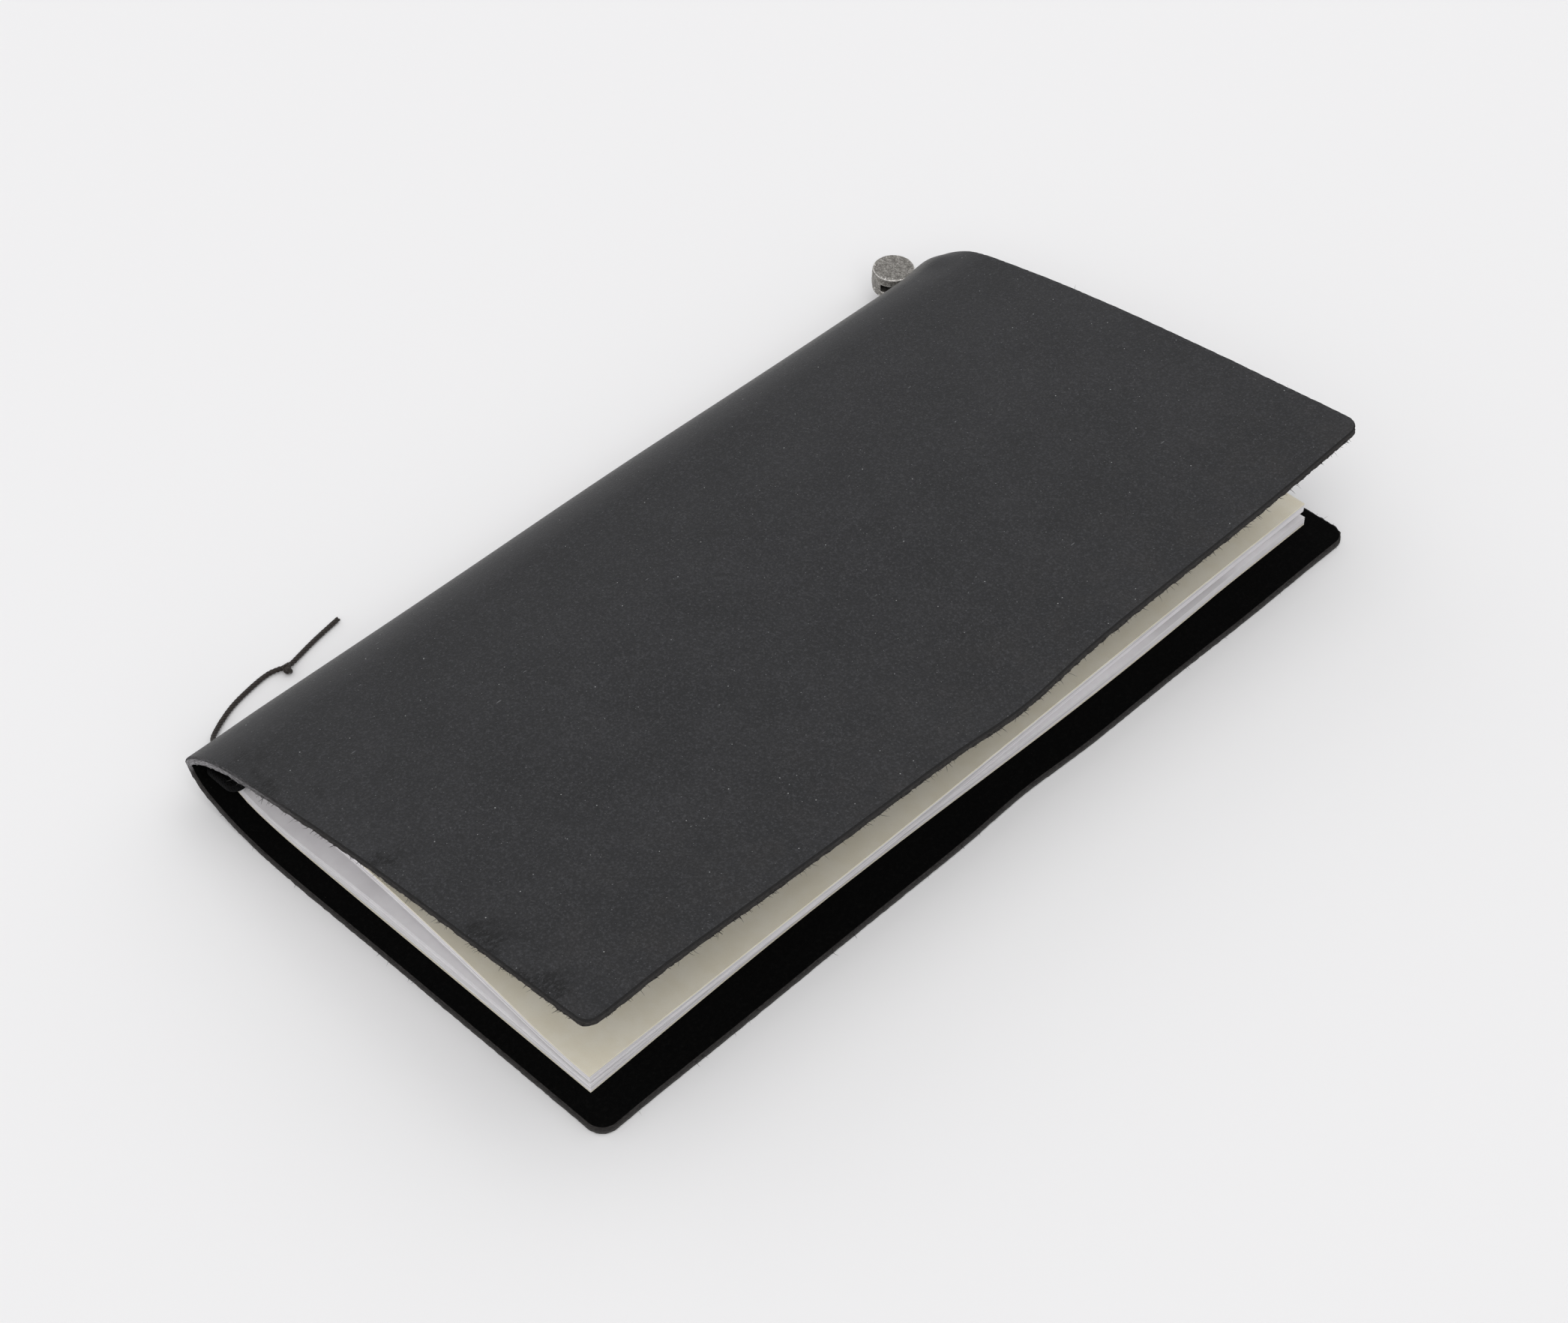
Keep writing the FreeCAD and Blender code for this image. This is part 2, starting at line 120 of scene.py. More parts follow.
class Shader:
    """A node material, built with one short call a node."""

    def __init__(self, name):
        self.material = bpy.data.materials.new(name)
        self.material.use_nodes = True
        self.nodes = self.material.node_tree.nodes
        self.links = self.material.node_tree.links
        self.surface = self.nodes["Principled BSDF"]

    def put(self, socket, value):
        """Sets a socket to a number or a colour, or links it to another node's output."""
        if isinstance(value, bpy.types.NodeSocket):
            self.links.new(value, socket)
        elif isinstance(value, tuple) and len(value) == 3 and socket.type == "RGBA":
            socket.default_value = (*value, 1.0)
        else:
            socket.default_value = value

    def set(self, **values):
        """Sets inputs of the surface shader. An underscore in a name stands for a space."""
        for name, value in values.items():
            self.put(self.surface.inputs[name.replace("_", " ")], value)

    def flat(self):
        """Place on the piece when laid flat, in millimetres."""
        attribute = self.nodes.new("ShaderNodeAttribute")
        attribute.attribute_name = "flat"
        return attribute.outputs["Vector"]

    def place(self):
        """Place in the object's own space, in millimetres."""
        coordinates = self.nodes.new("ShaderNodeTexCoord")
        return self.stretched(coordinates.outputs["Object"], (1 / MM, 1 / MM, 1 / MM))

    def stretched(self, vector, factors):
        """A vector multiplied by a factor on each axis."""
        node = self.nodes.new("ShaderNodeVectorMath")
        node.operation = "MULTIPLY"
        self.put(node.inputs[0], vector)
        self.put(node.inputs[1], factors)
        return node.outputs[0]

    def split(self, vector):
        node = self.nodes.new("ShaderNodeSeparateXYZ")
        self.put(node.inputs[0], vector)
        return node.outputs["X"], node.outputs["Y"], node.outputs["Z"]

    def math(self, operation, first, second=0.0, third=0.0):
        node = self.nodes.new("ShaderNodeMath")
        node.operation = operation
        for socket, value in zip(node.inputs, (first, second, third)):
            self.put(socket, value)
        return node.outputs[0]

    def both(self, first, second):
        """Where two masks are both 1."""
        return self.math("MULTIPLY", first, second)

    def between(self, value, low, high, to_low=0.0, to_high=1.0):
        """A smooth step of a value from one level to another."""
        node = self.nodes.new("ShaderNodeMapRange")
        node.interpolation_type = "SMOOTHSTEP"
        self.put(node.inputs["Value"], value)
        for name, number in zip(("From Min", "From Max", "To Min", "To Max"), (low, high, to_low, to_high)):
            node.inputs[name].default_value = number
        return node.outputs["Result"]

    def noise(self, vector, scale, detail=3.0, rough=0.55, distortion=0.0):
        node = self.nodes.new("ShaderNodeTexNoise")
        self.put(node.inputs["Vector"], vector)
        node.inputs["Scale"].default_value = scale
        node.inputs["Detail"].default_value = detail
        node.inputs["Roughness"].default_value = rough
        node.inputs["Distortion"].default_value = distortion
        return node.outputs["Fac"]

    def cells(self, vector, scale):
        """Distance to cell points and a random colour of each cell."""
        node = self.nodes.new("ShaderNodeTexVoronoi")
        self.put(node.inputs["Vector"], vector)
        node.inputs["Scale"].default_value = scale
        return node.outputs["Distance"], node.outputs["Color"]

    def specks(self, vector, scale, radius, share):
        """Round dots in a share of the cells: 1 inside a dot, which is 0.35 to 1.35 radii wide."""
        distance, colour = self.cells(vector, scale)
        red, green, _ = self.split(colour)
        chosen = self.math("LESS_THAN", red, share)
        reach = self.math("MULTIPLY_ADD", green, radius, radius * 0.35)
        inside = self.math("DIVIDE", distance, reach)
        return self.both(self.between(inside, 1.0, 0.5), chosen)

    def mix(self, mask, first, second):
        """The first colour where a mask is 0, and the second where it is 1."""
        node = self.nodes.new("ShaderNodeMix")
        node.data_type = "RGBA"
        self.put(node.inputs["Factor"], mask)
        sockets = [socket for socket in node.inputs if socket.type == "RGBA"]
        self.put(sockets[0], first)
        self.put(sockets[1], second)
        return [socket for socket in node.outputs if socket.type == "RGBA"][0]

    def over(self, colour, other, mask, share):
        """A colour with another laid over it, by a share of a mask."""
        return self.mix(self.math("MULTIPLY", mask, share), colour, other)

    def bump(self, height, distance, strength=1.0, normal=None):
        """Bumps of a height from 0 to 1 that stands for a distance in millimetres."""
        node = self.nodes.new("ShaderNodeBump")
        node.inputs["Strength"].default_value = strength
        node.inputs["Distance"].default_value = distance * MM
        self.put(node.inputs["Height"], height)
        if normal is not None:
            self.put(node.inputs["Normal"], normal)
        return node.outputs["Normal"]


# ---------------------------------------------------------------- materials
# On leather and paper, the laid-flat place is: along the sheet from the fold, y along the spine, depth.


def grain_leather():
    """Charcoal grain side: pores, pale specks, scuffs at -Y, painted shade by the spine, and a pale strip
    along the spine that is partly rubbed and partly painted highlight.
    """
    s = Shader("grain_leather")
    flat = s.flat()
    along, y, _ = s.split(flat)
    grain = s.noise(flat, 1.9, 5.0, 0.75)
    # Broad tones: clouds, a warmer fore-edge, dull patches, and painted shade that darkens the slope next
    # to the spine.
    clouds = s.between(s.noise(flat, 0.06, 5.0), 0.3, 0.7)
    colour = s.mix(clouds, (0.0167, 0.0168, 0.0184), (0.0230, 0.0230, 0.0251))
    warm = s.both(s.between(along, 80.0, 118.0), s.between(s.noise(flat, 0.12, 4.0), 0.4, 0.7))
    colour = s.over(colour, (0.0245, 0.0220, 0.0205), warm, 0.4)
    dull = s.between(s.noise(flat, 0.5, 4.0), 0.45, 0.75)
    colour = s.over(colour, (0.0125, 0.0128, 0.0140), dull, 0.45)
    # Painted shade: the slope next to the spine is darkened towards the fold.
    colour = s.over(colour, (0.009, 0.0092, 0.010), s.between(along, 60.0, 5.0), 0.36)
    # Grain: dark pits and light crests.
    colour = s.over(colour, (0.0074, 0.0076, 0.0083), s.between(grain, 0.52, 0.38), 0.62)
    colour = s.over(colour, (0.053, 0.054, 0.058), s.between(grain, 0.50, 0.66), 0.74)
    # A strip along the spine, partly rubbed pale and partly a painted highlight where its curve catches the
    # light, most at its far end.
    wear_and_highlight_band = s.both(s.between(along, 7.0, 2.0), s.between(along, -9.0, -2.0))
    wear_and_highlight_band = s.both(wear_and_highlight_band, s.between(s.noise(flat, 1.2, 6.0, 0.7), 0.35, 0.65, 0.6, 1.0))
    wear_and_highlight_band = s.both(wear_and_highlight_band, s.between(y, 10.0, 108.0, 0.42, 1.0))
    colour = s.mix(wear_and_highlight_band, colour, (0.118, 0.115, 0.109))
    # Dust: many faint specks, fewer bright ones, and short hairs.
    colour = s.over(colour, (0.18, 0.185, 0.19), s.specks(flat, 0.90, 0.090, 0.80), 0.85)
    colour = s.over(colour, (0.34, 0.35, 0.35), s.specks(flat, 0.45, 0.060, 0.50), 0.9)
    hairs = s.specks(s.stretched(flat, (0.9, 0.22, 1.0)), 0.5, 0.070, 0.3)
    colour = s.over(colour, (0.16, 0.165, 0.17), hairs, 0.55)
    # Dark torn grain in patches along the edge at -Y.
    torn = s.between(s.noise(s.stretched(flat, (1.0, 0.6, 1.0)), 1.6, 5.0, 0.8), 0.44, 0.54)
    scuffs = s.both(s.between(y, -99.0, -108.0), s.between(s.noise(flat, 0.09, 3.0), 0.47, 0.57))
    colour = s.mix(s.both(scuffs, torn), colour, (0.0045, 0.0045, 0.0050))
    pores, _ = s.cells(flat, 2.6)
    normal = s.bump(s.math("MULTIPLY_ADD", pores, 0.45, grain), 0.085, 0.6)
    crease = s.noise(s.stretched(flat, (0.5, 0.16, 1.0)), 1.0, 4.0, 0.6, 0.4)
    s.set(
        Base_Color=colour,
        Roughness=s.between(grain, 0.35, 0.65, 0.48, 0.68),
        Specular_IOR_Level=0.26,
        Sheen_Weight=0.07,
        Normal=s.bump(crease, 0.12, 0.35, normal),
    )
    return s.material


def suede():
    """Flesh side: black nap with a few grey fibres."""
    s = Shader("suede")
    flat = s.flat()
    nap = s.noise(flat, 1.3, 6.0, 0.7)
    colour = s.mix(s.between(nap, 0.45, 0.75), (0.0012, 0.0012, 0.0012), (0.0042, 0.0041, 0.0038))
    fibre = s.noise(s.stretched(flat, (1.0, 0.4, 1.0)), 5.0, 4.0)
    s.set(
        Base_Color=s.over(colour, (0.06, 0.055, 0.05), s.specks(flat, 0.7, 0.07, 0.2), 0.3),
        Roughness=0.95,
        Specular_IOR_Level=0.06,
        Normal=s.bump(s.math("ADD", nap, fibre), 0.12, 0.8),
    )
    return s.material


def cut_edge():
    """Cut edge: pale raw fibres by the spine, dark and burnished towards the fore-edge."""
    s = Shader("cut_edge")
    flat = s.flat()
    along, _, depth = s.split(flat)
    fibres = s.noise(s.stretched(flat, (0.9, 0.9, 5.0)), 1.4, 6.0, 0.7)
    dark = s.mix(s.between(fibres, 0.35, 0.7), (0.012, 0.0105, 0.010), (0.040, 0.037, 0.035))
    raw = s.mix(s.between(fibres, 0.35, 0.65), (0.065, 0.063, 0.067), (0.36, 0.35, 0.36))
    by_spine = s.both(s.between(along, 44.0, 6.0), s.between(along, -2.5, 0.5))
    colour = s.mix(by_spine, dark, raw)
    # A dark line under the grain, and a paler one in the middle of the rear leaf's edge.
    colour = s.over(colour, (0.009, 0.009, 0.0095), s.between(depth, 0.30, 0.62), 0.75)
    line = s.both(s.between(along, -6.0, -14.0), s.between(depth, -0.15, 0.25))
    s.set(
        Base_Color=s.over(colour, (0.075, 0.073, 0.070), line, 0.4),
        Roughness=0.78,
        Specular_IOR_Level=0.25,
        Normal=s.bump(fibres, 0.14, 0.9),
    )
    return s.material


def page_paper():
    """Uncoated white paper with a faint fibre, and grey lines of painted shade between the sheets at their
    edges.
    """
    s = Shader("page_paper")
    flat = s.flat()
    along, _, _ = s.split(flat)
    clouds = s.between(s.noise(flat, 0.25, 4.0), 0.3, 0.7)
    colour = s.mix(clouds, (0.86, 0.84, 0.86), (0.90, 0.885, 0.90))
    # Noise that hardly changes along or across a sheet, so it is a line on each edge: painted shade between
    # the sheets.
    sheets = s.noise(s.stretched(flat, (0.006, 0.006, 1.7)), 1.0, 3.0, 0.75)
    lines = s.both(s.between(sheets, 0.51, 0.57), s.between(along, 60.0, 100.0, 0.40, 0.55))
    colour = s.mix(lines, colour, (0.44, 0.425, 0.425))
    fibre = s.noise(flat, 4.0, 3.0)
    s.set(
        Base_Color=s.over(colour, (0.78, 0.765, 0.78), s.between(fibre, 0.5, 0.8), 0.25),
        Roughness=0.9,
        Specular_IOR_Level=0.2,
        Normal=s.bump(fibre, 0.02, 0.4),
    )
    return s.material


def cream_card():
    """Cream card with recycled flecks."""
    s = Shader("cream_card")
    flat = s.flat()
    clouds = s.between(s.noise(flat, 0.2, 5.0), 0.3, 0.7)
    colour = s.mix(clouds, (0.87, 0.81, 0.655), (0.91, 0.86, 0.725))
    fibre = s.noise(s.stretched(flat, (2.2, 1.0, 1.0)), 2.5, 5.0, 0.7)
    s.set(
        Base_Color=s.over(colour, (0.60, 0.54, 0.41), s.between(fibre, 0.52, 0.8), 0.35),
        Roughness=0.88,
        Specular_IOR_Level=0.2,
        Normal=s.bump(fibre, 0.03, 0.5),
    )
    return s.material


def waxed_cord():
    """Brown-black waxed thread with pale wax in its twist."""
    s = Shader("waxed_cord")
    place = s.place()
    fuzz = s.noise(place, 5.0, 5.0, 0.7)
    colour = s.mix(s.between(fuzz, 0.35, 0.75), (0.012, 0.009, 0.0075), (0.050, 0.038, 0.031))
    s.set(
        Base_Color=s.over(colour, (0.22, 0.19, 0.16), s.specks(place, 1.2, 0.12, 0.15), 0.35),
        Roughness=0.62,
        Specular_IOR_Level=0.35,
        Sheen_Weight=0.1,
        Normal=s.bump(fuzz, 0.06, 0.8),
    )
    return s.material


def braided_elastic():
    """Black elastic in a fine braided sleeve."""
    s = Shader("braided_elastic")
    place = s.place()
    x, y, z = s.split(place)
    around = s.math("ADD", x, z)
    rising = s.math("SINE", s.math("MULTIPLY_ADD", y, 9.0, s.math("MULTIPLY", around, 7.0)))
    falling = s.math("SINE", s.math("MULTIPLY_ADD", y, 9.0, s.math("MULTIPLY", around, -7.0)))
    braid = s.math("MAXIMUM", rising, falling)
    fuzz = s.noise(place, 6.0, 4.0)
    colour = s.mix(s.between(braid, -0.4, 1.0), (0.0008, 0.0008, 0.0009), (0.0035, 0.0035, 0.0040))
    s.set(
        Base_Color=s.over(colour, (0.010, 0.010, 0.011), s.between(fuzz, 0.5, 0.8), 0.4),
        Roughness=0.75,
        Specular_IOR_Level=0.12,
        Normal=s.bump(s.math("MULTIPLY_ADD", fuzz, 0.5, braid), 0.08, 0.8),
    )
    return s.material


def cast_tin():
    """Rough cast tin, darker in its pits, with a painted highlight on its rim."""
    s = Shader("cast_tin")
    place = s.place()
    coarse = s.noise(place, 1.2, 6.0, 0.7)
    fine = s.noise(place, 2.9, 5.0, 0.75)
    colour = s.mix(s.between(coarse, 0.3, 0.7), (0.14, 0.132, 0.12), (0.42, 0.405, 0.375))
    colour = s.over(colour, (0.12, 0.11, 0.10), s.between(fine, 0.50, 0.64), 0.8)
    colour = s.over(colour, (0.66, 0.64, 0.61), s.between(fine, 0.46, 0.36), 0.6)
    geometry = s.nodes.new("ShaderNodeNewGeometry")
    # Painted highlight: the sharpest convex edges, found by pointiness, are made near-white.
    rim = s.between(geometry.outputs["Pointiness"], 0.51, 0.54)
    s.set(
        Base_Color=s.over(colour, (0.92, 0.90, 0.86), rim, 0.95),
        Metallic=0.8,
        Roughness=s.between(fine, 0.3, 0.8, 0.42, 0.62),
        Normal=s.bump(s.math("MULTIPLY_ADD", fine, 0.6, coarse), 0.16, 0.9),
    )
    return s.material


def staple_steel():
    """Drawn steel wire with fine lengthwise lines."""
    s = Shader("staple_steel")
    lines = s.noise(s.stretched(s.place(), (9.0, 0.4, 9.0)), 1.0, 4.0)
    s.set(
        Base_Color=s.mix(s.between(lines, 0.3, 0.7), (0.42, 0.42, 0.43), (0.66, 0.66, 0.67)),
        Metallic=1.0,
        Roughness=s.between(lines, 0.3, 0.7, 0.22, 0.40),
        Normal=s.bump(lines, 0.02, 0.5),
    )
    return s.material


LEATHER_GRAIN = grain_leather()
LEATHER_SUEDE = suede()
LEATHER_EDGE = cut_edge()
PAPER = page_paper()
CARD = cream_card()
WAXED = waxed_cord()
ELASTIC = braided_elastic()
TIN = cast_tin()
STEEL = staple_steel()


# ---------------------------------------------------------------- curved lines in the XZ plane

STEP = 0.1 * MM


def running_total(values):
    """Integral of values sampled every STEP, starting from zero."""
    middle = (values[1:] + values[:-1]) / 2
    return np.concatenate([[0.0], np.cumsum(middle) * STEP])


def run_out(start, heading, runs):
    """Distance, x and z along tangent arcs, from runs of (length in mm, turn in degrees)."""
    stops = np.cumsum([0.0] + [length for length, _ in runs]) * MM
    headings = np.radians(heading + np.cumsum([0.0] + [turn for _, turn in runs]))
    distance = np.arange(0.0, stops[-1] + STEP / 2, STEP)
    angle = np.interp(distance, stops, headings)
    return distance, start.x + running_total(np.cos(angle)), start.z + running_total(np.sin(angle))


def smoothed(values, width):
    """Values with their corners rounded by a Gaussian of this width, and their ends kept."""
    reach = int(4 * width / STEP)
    weights = np.exp(-0.5 * (np.arange(-reach, reach + 1) * STEP / width) ** 2)
    padded = np.pad(values, reach, mode="reflect", reflect_type="odd")
    return np.convolve(padded, weights / weights.sum(), mode="valid")


def smooth_step(value, low, high):
    """0 at low, 1 at high, and smooth between them."""
    share = np.clip((value - low) / (high - low), 0.0, 1.0)
    return share * share * (3 - 2 * share)


def hill(value, middle, width):
    """1 at the middle and falling smoothly to 0 within about two widths."""
    return np.exp(-((value - middle) / width) ** 2)


def hills(value, table):
    """Sum of hills, from rows of height, middle and width in millimetres."""
    return sum(height * hill(value, middle * MM, width * MM) for height, middle, width in table)


# ---------------------------------------------------------------- the leather sheet
# Distance along the sheet, s, is 0 at the fold, positive over the front and negative over the rear.

THICK = 1.75 * MM
REAR_BEND = [(8, 46), (12, 18.5), (12, 5.5)]
REAR_HEADING = -70.0
FRONT_HEADING = 62.5
FRONT_RUNS = [(3, -24), (6, -12), (8, -13.5), (20.1, -3.8), (30, -2.7), (53, -1.3)]
FOLD_SOFTNESS = 0.7 * MM
SEAM = 17.0 * MM                # where the two leather meshes meet, by the strip's outer edge
REAR_CORNERS = (3.8 * MM, 3.8 * MM)     # radius at -Y and at +Y
FRONT_CORNERS = (2.8 * MM, 3.7 * MM)
HALF_LENGTH = (COVER_HIGH.y - COVER_LOW.y) / 2
HOLE_RADIUS = 1.7 * MM
HOLE_HEIGHT = 7.5 * MM
HOLES_Y = (-103.9, -96.55, 0.0, 97.6, 102.6)
BEND_REACH = 20 * MM            # the holes are nearer to the fold than this


class SheetLine:
    """The middle line of the folded sheet, with its outward normal."""

    def __init__(self):
        bend = run_out(FOLD, REAR_HEADING, REAR_BEND)
        flat = (COVER_HIGH.x - bend[1][-1]) / MM
        rear = run_out(FOLD, REAR_HEADING, REAR_BEND + [(flat, 0.0)])
        front = run_out(FOLD, FRONT_HEADING, FRONT_RUNS)
        self.s = np.concatenate([-rear[0][:0:-1], front[0]])
        self.x = smoothed(np.concatenate([rear[1][:0:-1], front[1]]), FOLD_SOFTNESS)
        self.z = smoothed(np.concatenate([rear[2][:0:-1], front[2]]), FOLD_SOFTNESS)
        slope_x = np.gradient(self.x, STEP)
        slope_z = np.gradient(self.z, STEP)
        size = np.hypot(slope_x, slope_z)
        self.normal_x = -slope_z / size
        self.normal_z = slope_x / size

    def at(self, s):
        """x, z and normal at distances s."""
        return [np.interp(s, self.s, values) for values in (self.x, self.z, self.normal_x, self.normal_z)]

    def distance_at_height(self, z):
        """Distance, on the rear side of the fold, where the line is at this height."""
        rear = (self.s < 0) & (self.s > -BEND_REACH)
        return float(np.interp(z, self.z[rear], self.s[rear]))


LEATHER = SheetLine()
HOLE_S = LEATHER.distance_at_height(HOLE_HEIGHT)


# How the cut outline wanders, as hills in mm: height, middle and width.
REAR_FORE_HILLS = [(0.4, -112, 12), (-0.9, 6, 14), (0.35, 74, 18)]
FRONT_FAR_HILLS = [(0.3, 55, 22), (-0.3, 16, 16)]


def edge_shift(s, y):
    """How far the cut outline wanders outwards along the sheet (first) and along the spine."""
    wave = np.sin(y / (15.5 * MM) + 0.7) * 0.14 + np.sin(y / (31 * MM) + 2.2) * 0.12 + 0.1
    pulled_in = smooth_step(y, -25 * MM, -90 * MM) * (1 - smooth_step(y, -88 * MM, -110 * MM))
    front = 0.8 * hill(y, 3 * MM, 15 * MM) - 0.95 * pulled_in + 0.75 * smooth_step(y, 15 * MM, 85 * MM)
    along = wave + np.where(s > 0, front, hills(y, REAR_FORE_HILLS))
    along = along * smooth_step(np.abs(s), 60 * MM, 118 * MM)
    drift = np.sin(s / (14 * MM) + 1.1) * 0.12 + np.sin(s / (33 * MM) + 0.3) * 0.14
    front_near = drift + 0.35 * smooth_step(s, 60 * MM, 118 * MM) + 0.05 * smooth_step(s, 98 * MM, 117 * MM)
    rear_near = 0.28 * smooth_step(-s, 8 * MM, 28 * MM) + 0.16 * hill(s, -38 * MM, 14 * MM)
    near = np.where(s > 0, front_near, rear_near)
    far = drift - 0.35 * smooth_step(s, 85 * MM, 118 * MM) + hills(s, FRONT_FAR_HILLS)
    side = smooth_step(np.abs(y), 80 * MM, 110 * MM)
    return along * MM * np.sign(s), np.where(y > 0, far, -near) * side * MM


def sheet_lift(s, y):
    """Outward distance from the plain line: waves, a sagging fore-edge, a bowed and flared spine."""
    wave = np.sin(s / (19 * MM) + y / (47 * MM)) * 0.10 + np.sin(y / (26 * MM) + 0.9) * 0.08
    wave = wave * smooth_step(s, 18 * MM, 60 * MM)
    reach = smooth_step(s, 35 * MM, 120 * MM)
    sag = 3.2 * (1 - (y / HALF_LENGTH) ** 2) + 1.0 * hill(y, 3 * MM, 17 * MM)
    corner = 0.5 * smooth_step(y, 70 * MM, 110 * MM) * smooth_step(s, 92 * MM, 120 * MM)
    bow = (0.25 + 0.42 * hill(y, 5 * MM, 38 * MM)) * smooth_step(y, -110 * MM, -90 * MM)
    flare = 0.85 * hill(y, 104 * MM, 5 * MM) - 0.60 * smooth_step(y, 105 * MM, 111 * MM)
    bow = bow * smooth_step(s, 32 * MM, 12 * MM) + flare * smooth_step(s, 12 * MM, 3 * MM)
    bow = bow * smooth_step(s, -7 * MM, 1 * MM)
    return (wave - sag * reach + corner + bow) * MM


def rear_rise(s, y):
    """Height by which the rear leaf's edge ripples off the table."""
    ripple = (np.sin(y / (21 * MM) + 1.9) + 1.0) * 0.10 * smooth_step(-s, 70 * MM, 116 * MM)
    return ripple * MM


def on_sheet(s, y, offset):
    """Points of the leather: distance along the sheet, place along the spine, and offset outwards."""
    shift_s, shift_y = edge_shift(s, y)
    x, z, normal_x, normal_z = LEATHER.at(s)
    out = offset + sheet_lift(s, y)
    tangent_x, tangent_z = normal_z, -normal_x
    return np.stack([
        x + normal_x * out + tangent_x * shift_s,
        y + shift_y,
        z + normal_z * out + tangent_z * shift_s + rear_rise(s, y),
    ], axis=-1)


class MeshParts:
    """Vertices in flat terms (s, y, offset), and faces with a material number each."""

    def __init__(self):
        self.flat = []
        self.faces = []
        self.kinds = []

    def vertex(self, s, y, offset):
        self.flat.append((s, y, offset))
        return len(self.flat) - 1

    def face(self, corners, kind):
        self.faces.append(corners)
        self.kinds.append(kind)

    def bridge(self, first, second, kind, closed=False):
        """Quads between two rows of vertices."""
        count = len(first) if closed else len(first) - 1
        for i in range(count):
            j = (i + 1) % len(first)
            self.face((first[i], first[j], second[j], second[i]), kind)

    def build(self, name, place, materials, sharp_angle=None):
        """The finished object, its vertices placed by a function of (s, y, offset)."""
        flat = np.array(self.flat)
        mesh = bpy.data.meshes.new(name)
        mesh.from_pydata(place(flat[:, 0], flat[:, 1], flat[:, 2]).tolist(), [], self.faces)
        for material in materials:
            mesh.materials.append(material)
        mesh.polygons.foreach_set("material_index", self.kinds)
        attribute = mesh.attributes.new("flat", "FLOAT_VECTOR", "POINT")
        attribute.data.foreach_set("vector", (flat / MM).ravel())
        mesh.polygons.foreach_set("use_smooth", [True] * len(self.faces))
        shell = bmesh.new()
        shell.from_mesh(mesh)
        bmesh.ops.recalc_face_normals(shell, faces=shell.faces)
        shell.to_mesh(mesh)
        shell.free()
        if sharp_angle is not None:
            mesh.set_sharp_from_angle(angle=math.radians(sharp_angle))
        return add_object(name, mesh)


def divided(stops, step):
    """Stops with even divisions, no longer than step, between each two."""
    values = [stops[0]]
    for low, high in zip(stops, stops[1:]):
        count = max(1, round(abs(high - low) / step))
        values += [low + (high - low) * i / count for i in range(1, count + 1)]
    return values


GRAIN, SUEDE, EDGE = 0, 1, 2
CELL = 0.8 * MM
WINDOW = 2.4 * MM               # half side of the square that is remeshed round each hole
EDGE_INSET = 0.30 * MM
# The cut edge's section: how far in from the outline, and the offset from the sheet's middle.
EDGE_SECTION = [(0.10, 0.80), (0.0, 0.62), (0.0, 0.22), (0.0, -0.2), (0.0, -0.58), (0.10, -0.80)]
HOLE_OFFSETS = (0.70 * MM, -0.70 * MM)  # the rings of a hole's wall
MOUTH_BEVEL = 0.14 * MM
MOUTH_SHARES = (0.4, 0.75, 1.0)         # the rings between the square window and a round mouth
CORNER_STEPS = 10
EDGE_ROUGHNESS = 0.23 * MM


def edge_noise(s, y, offset):
    """Uneven cut: the flesh side frays more than the grain side."""
    where = Vector((s, y, offset * 2)) / MM
    fray = 0.35 + 0.65 * (0.5 - offset / THICK)
    broad = noise.noise(where * 0.9)
    fine = noise.noise(where * 2.7)
    return EDGE_ROUGHNESS * fray * (1.1 * broad + 0.9 * fine)


def sheet_rows(s_open, s_end, stops_s, corners):
    """Rows from the open side to the rounded end: (s, half length at -Y, half length at +Y)."""
    way = 1.0 if s_end > s_open else -1.0
    last = s_end - way * EDGE_INSET
    half = HALF_LENGTH - EDGE_INSET
    widest = max(corners) - EDGE_INSET
    start = last - way * widest
    places = divided([s_open] + stops_s + [start], CELL)
    for step in range(1, CORNER_STEPS + 1):
        places.append(start + way * widest * math.sin(math.pi / 2 * step / CORNER_STEPS))
    rows = []
    for s in places:
        halves = []
        for corner in corners:
            radius = corner - EDGE_INSET
            past = min(radius, max(0.0, radius - abs(last - s)))
            halves.append(half - radius + math.sqrt(radius ** 2 - past ** 2))
        rows.append((s, *halves))
    return rows


def outward(outline, first, last):
    """Unit outward directions along an open outline, with given ones at its two ends."""
    points = np.array(outline)
    step = np.gradient(points, axis=0)
    size = np.hypot(step[:, 0], step[:, 1])
    normals = np.stack([step[:, 1] / size, -step[:, 0] / size], axis=1)
    if normals[0] @ np.array(first) < 0:
        normals = -normals
    normals[0] = first
    normals[-1] = last
    return normals


def on_circle(hole, s, y, radius):
    """The place on a circle round a hole that faces a place on the sheet."""
    angle = math.atan2(y - hole[1], s - hole[0])
    return hole[0] + radius * math.cos(angle), hole[1] + radius * math.sin(angle)


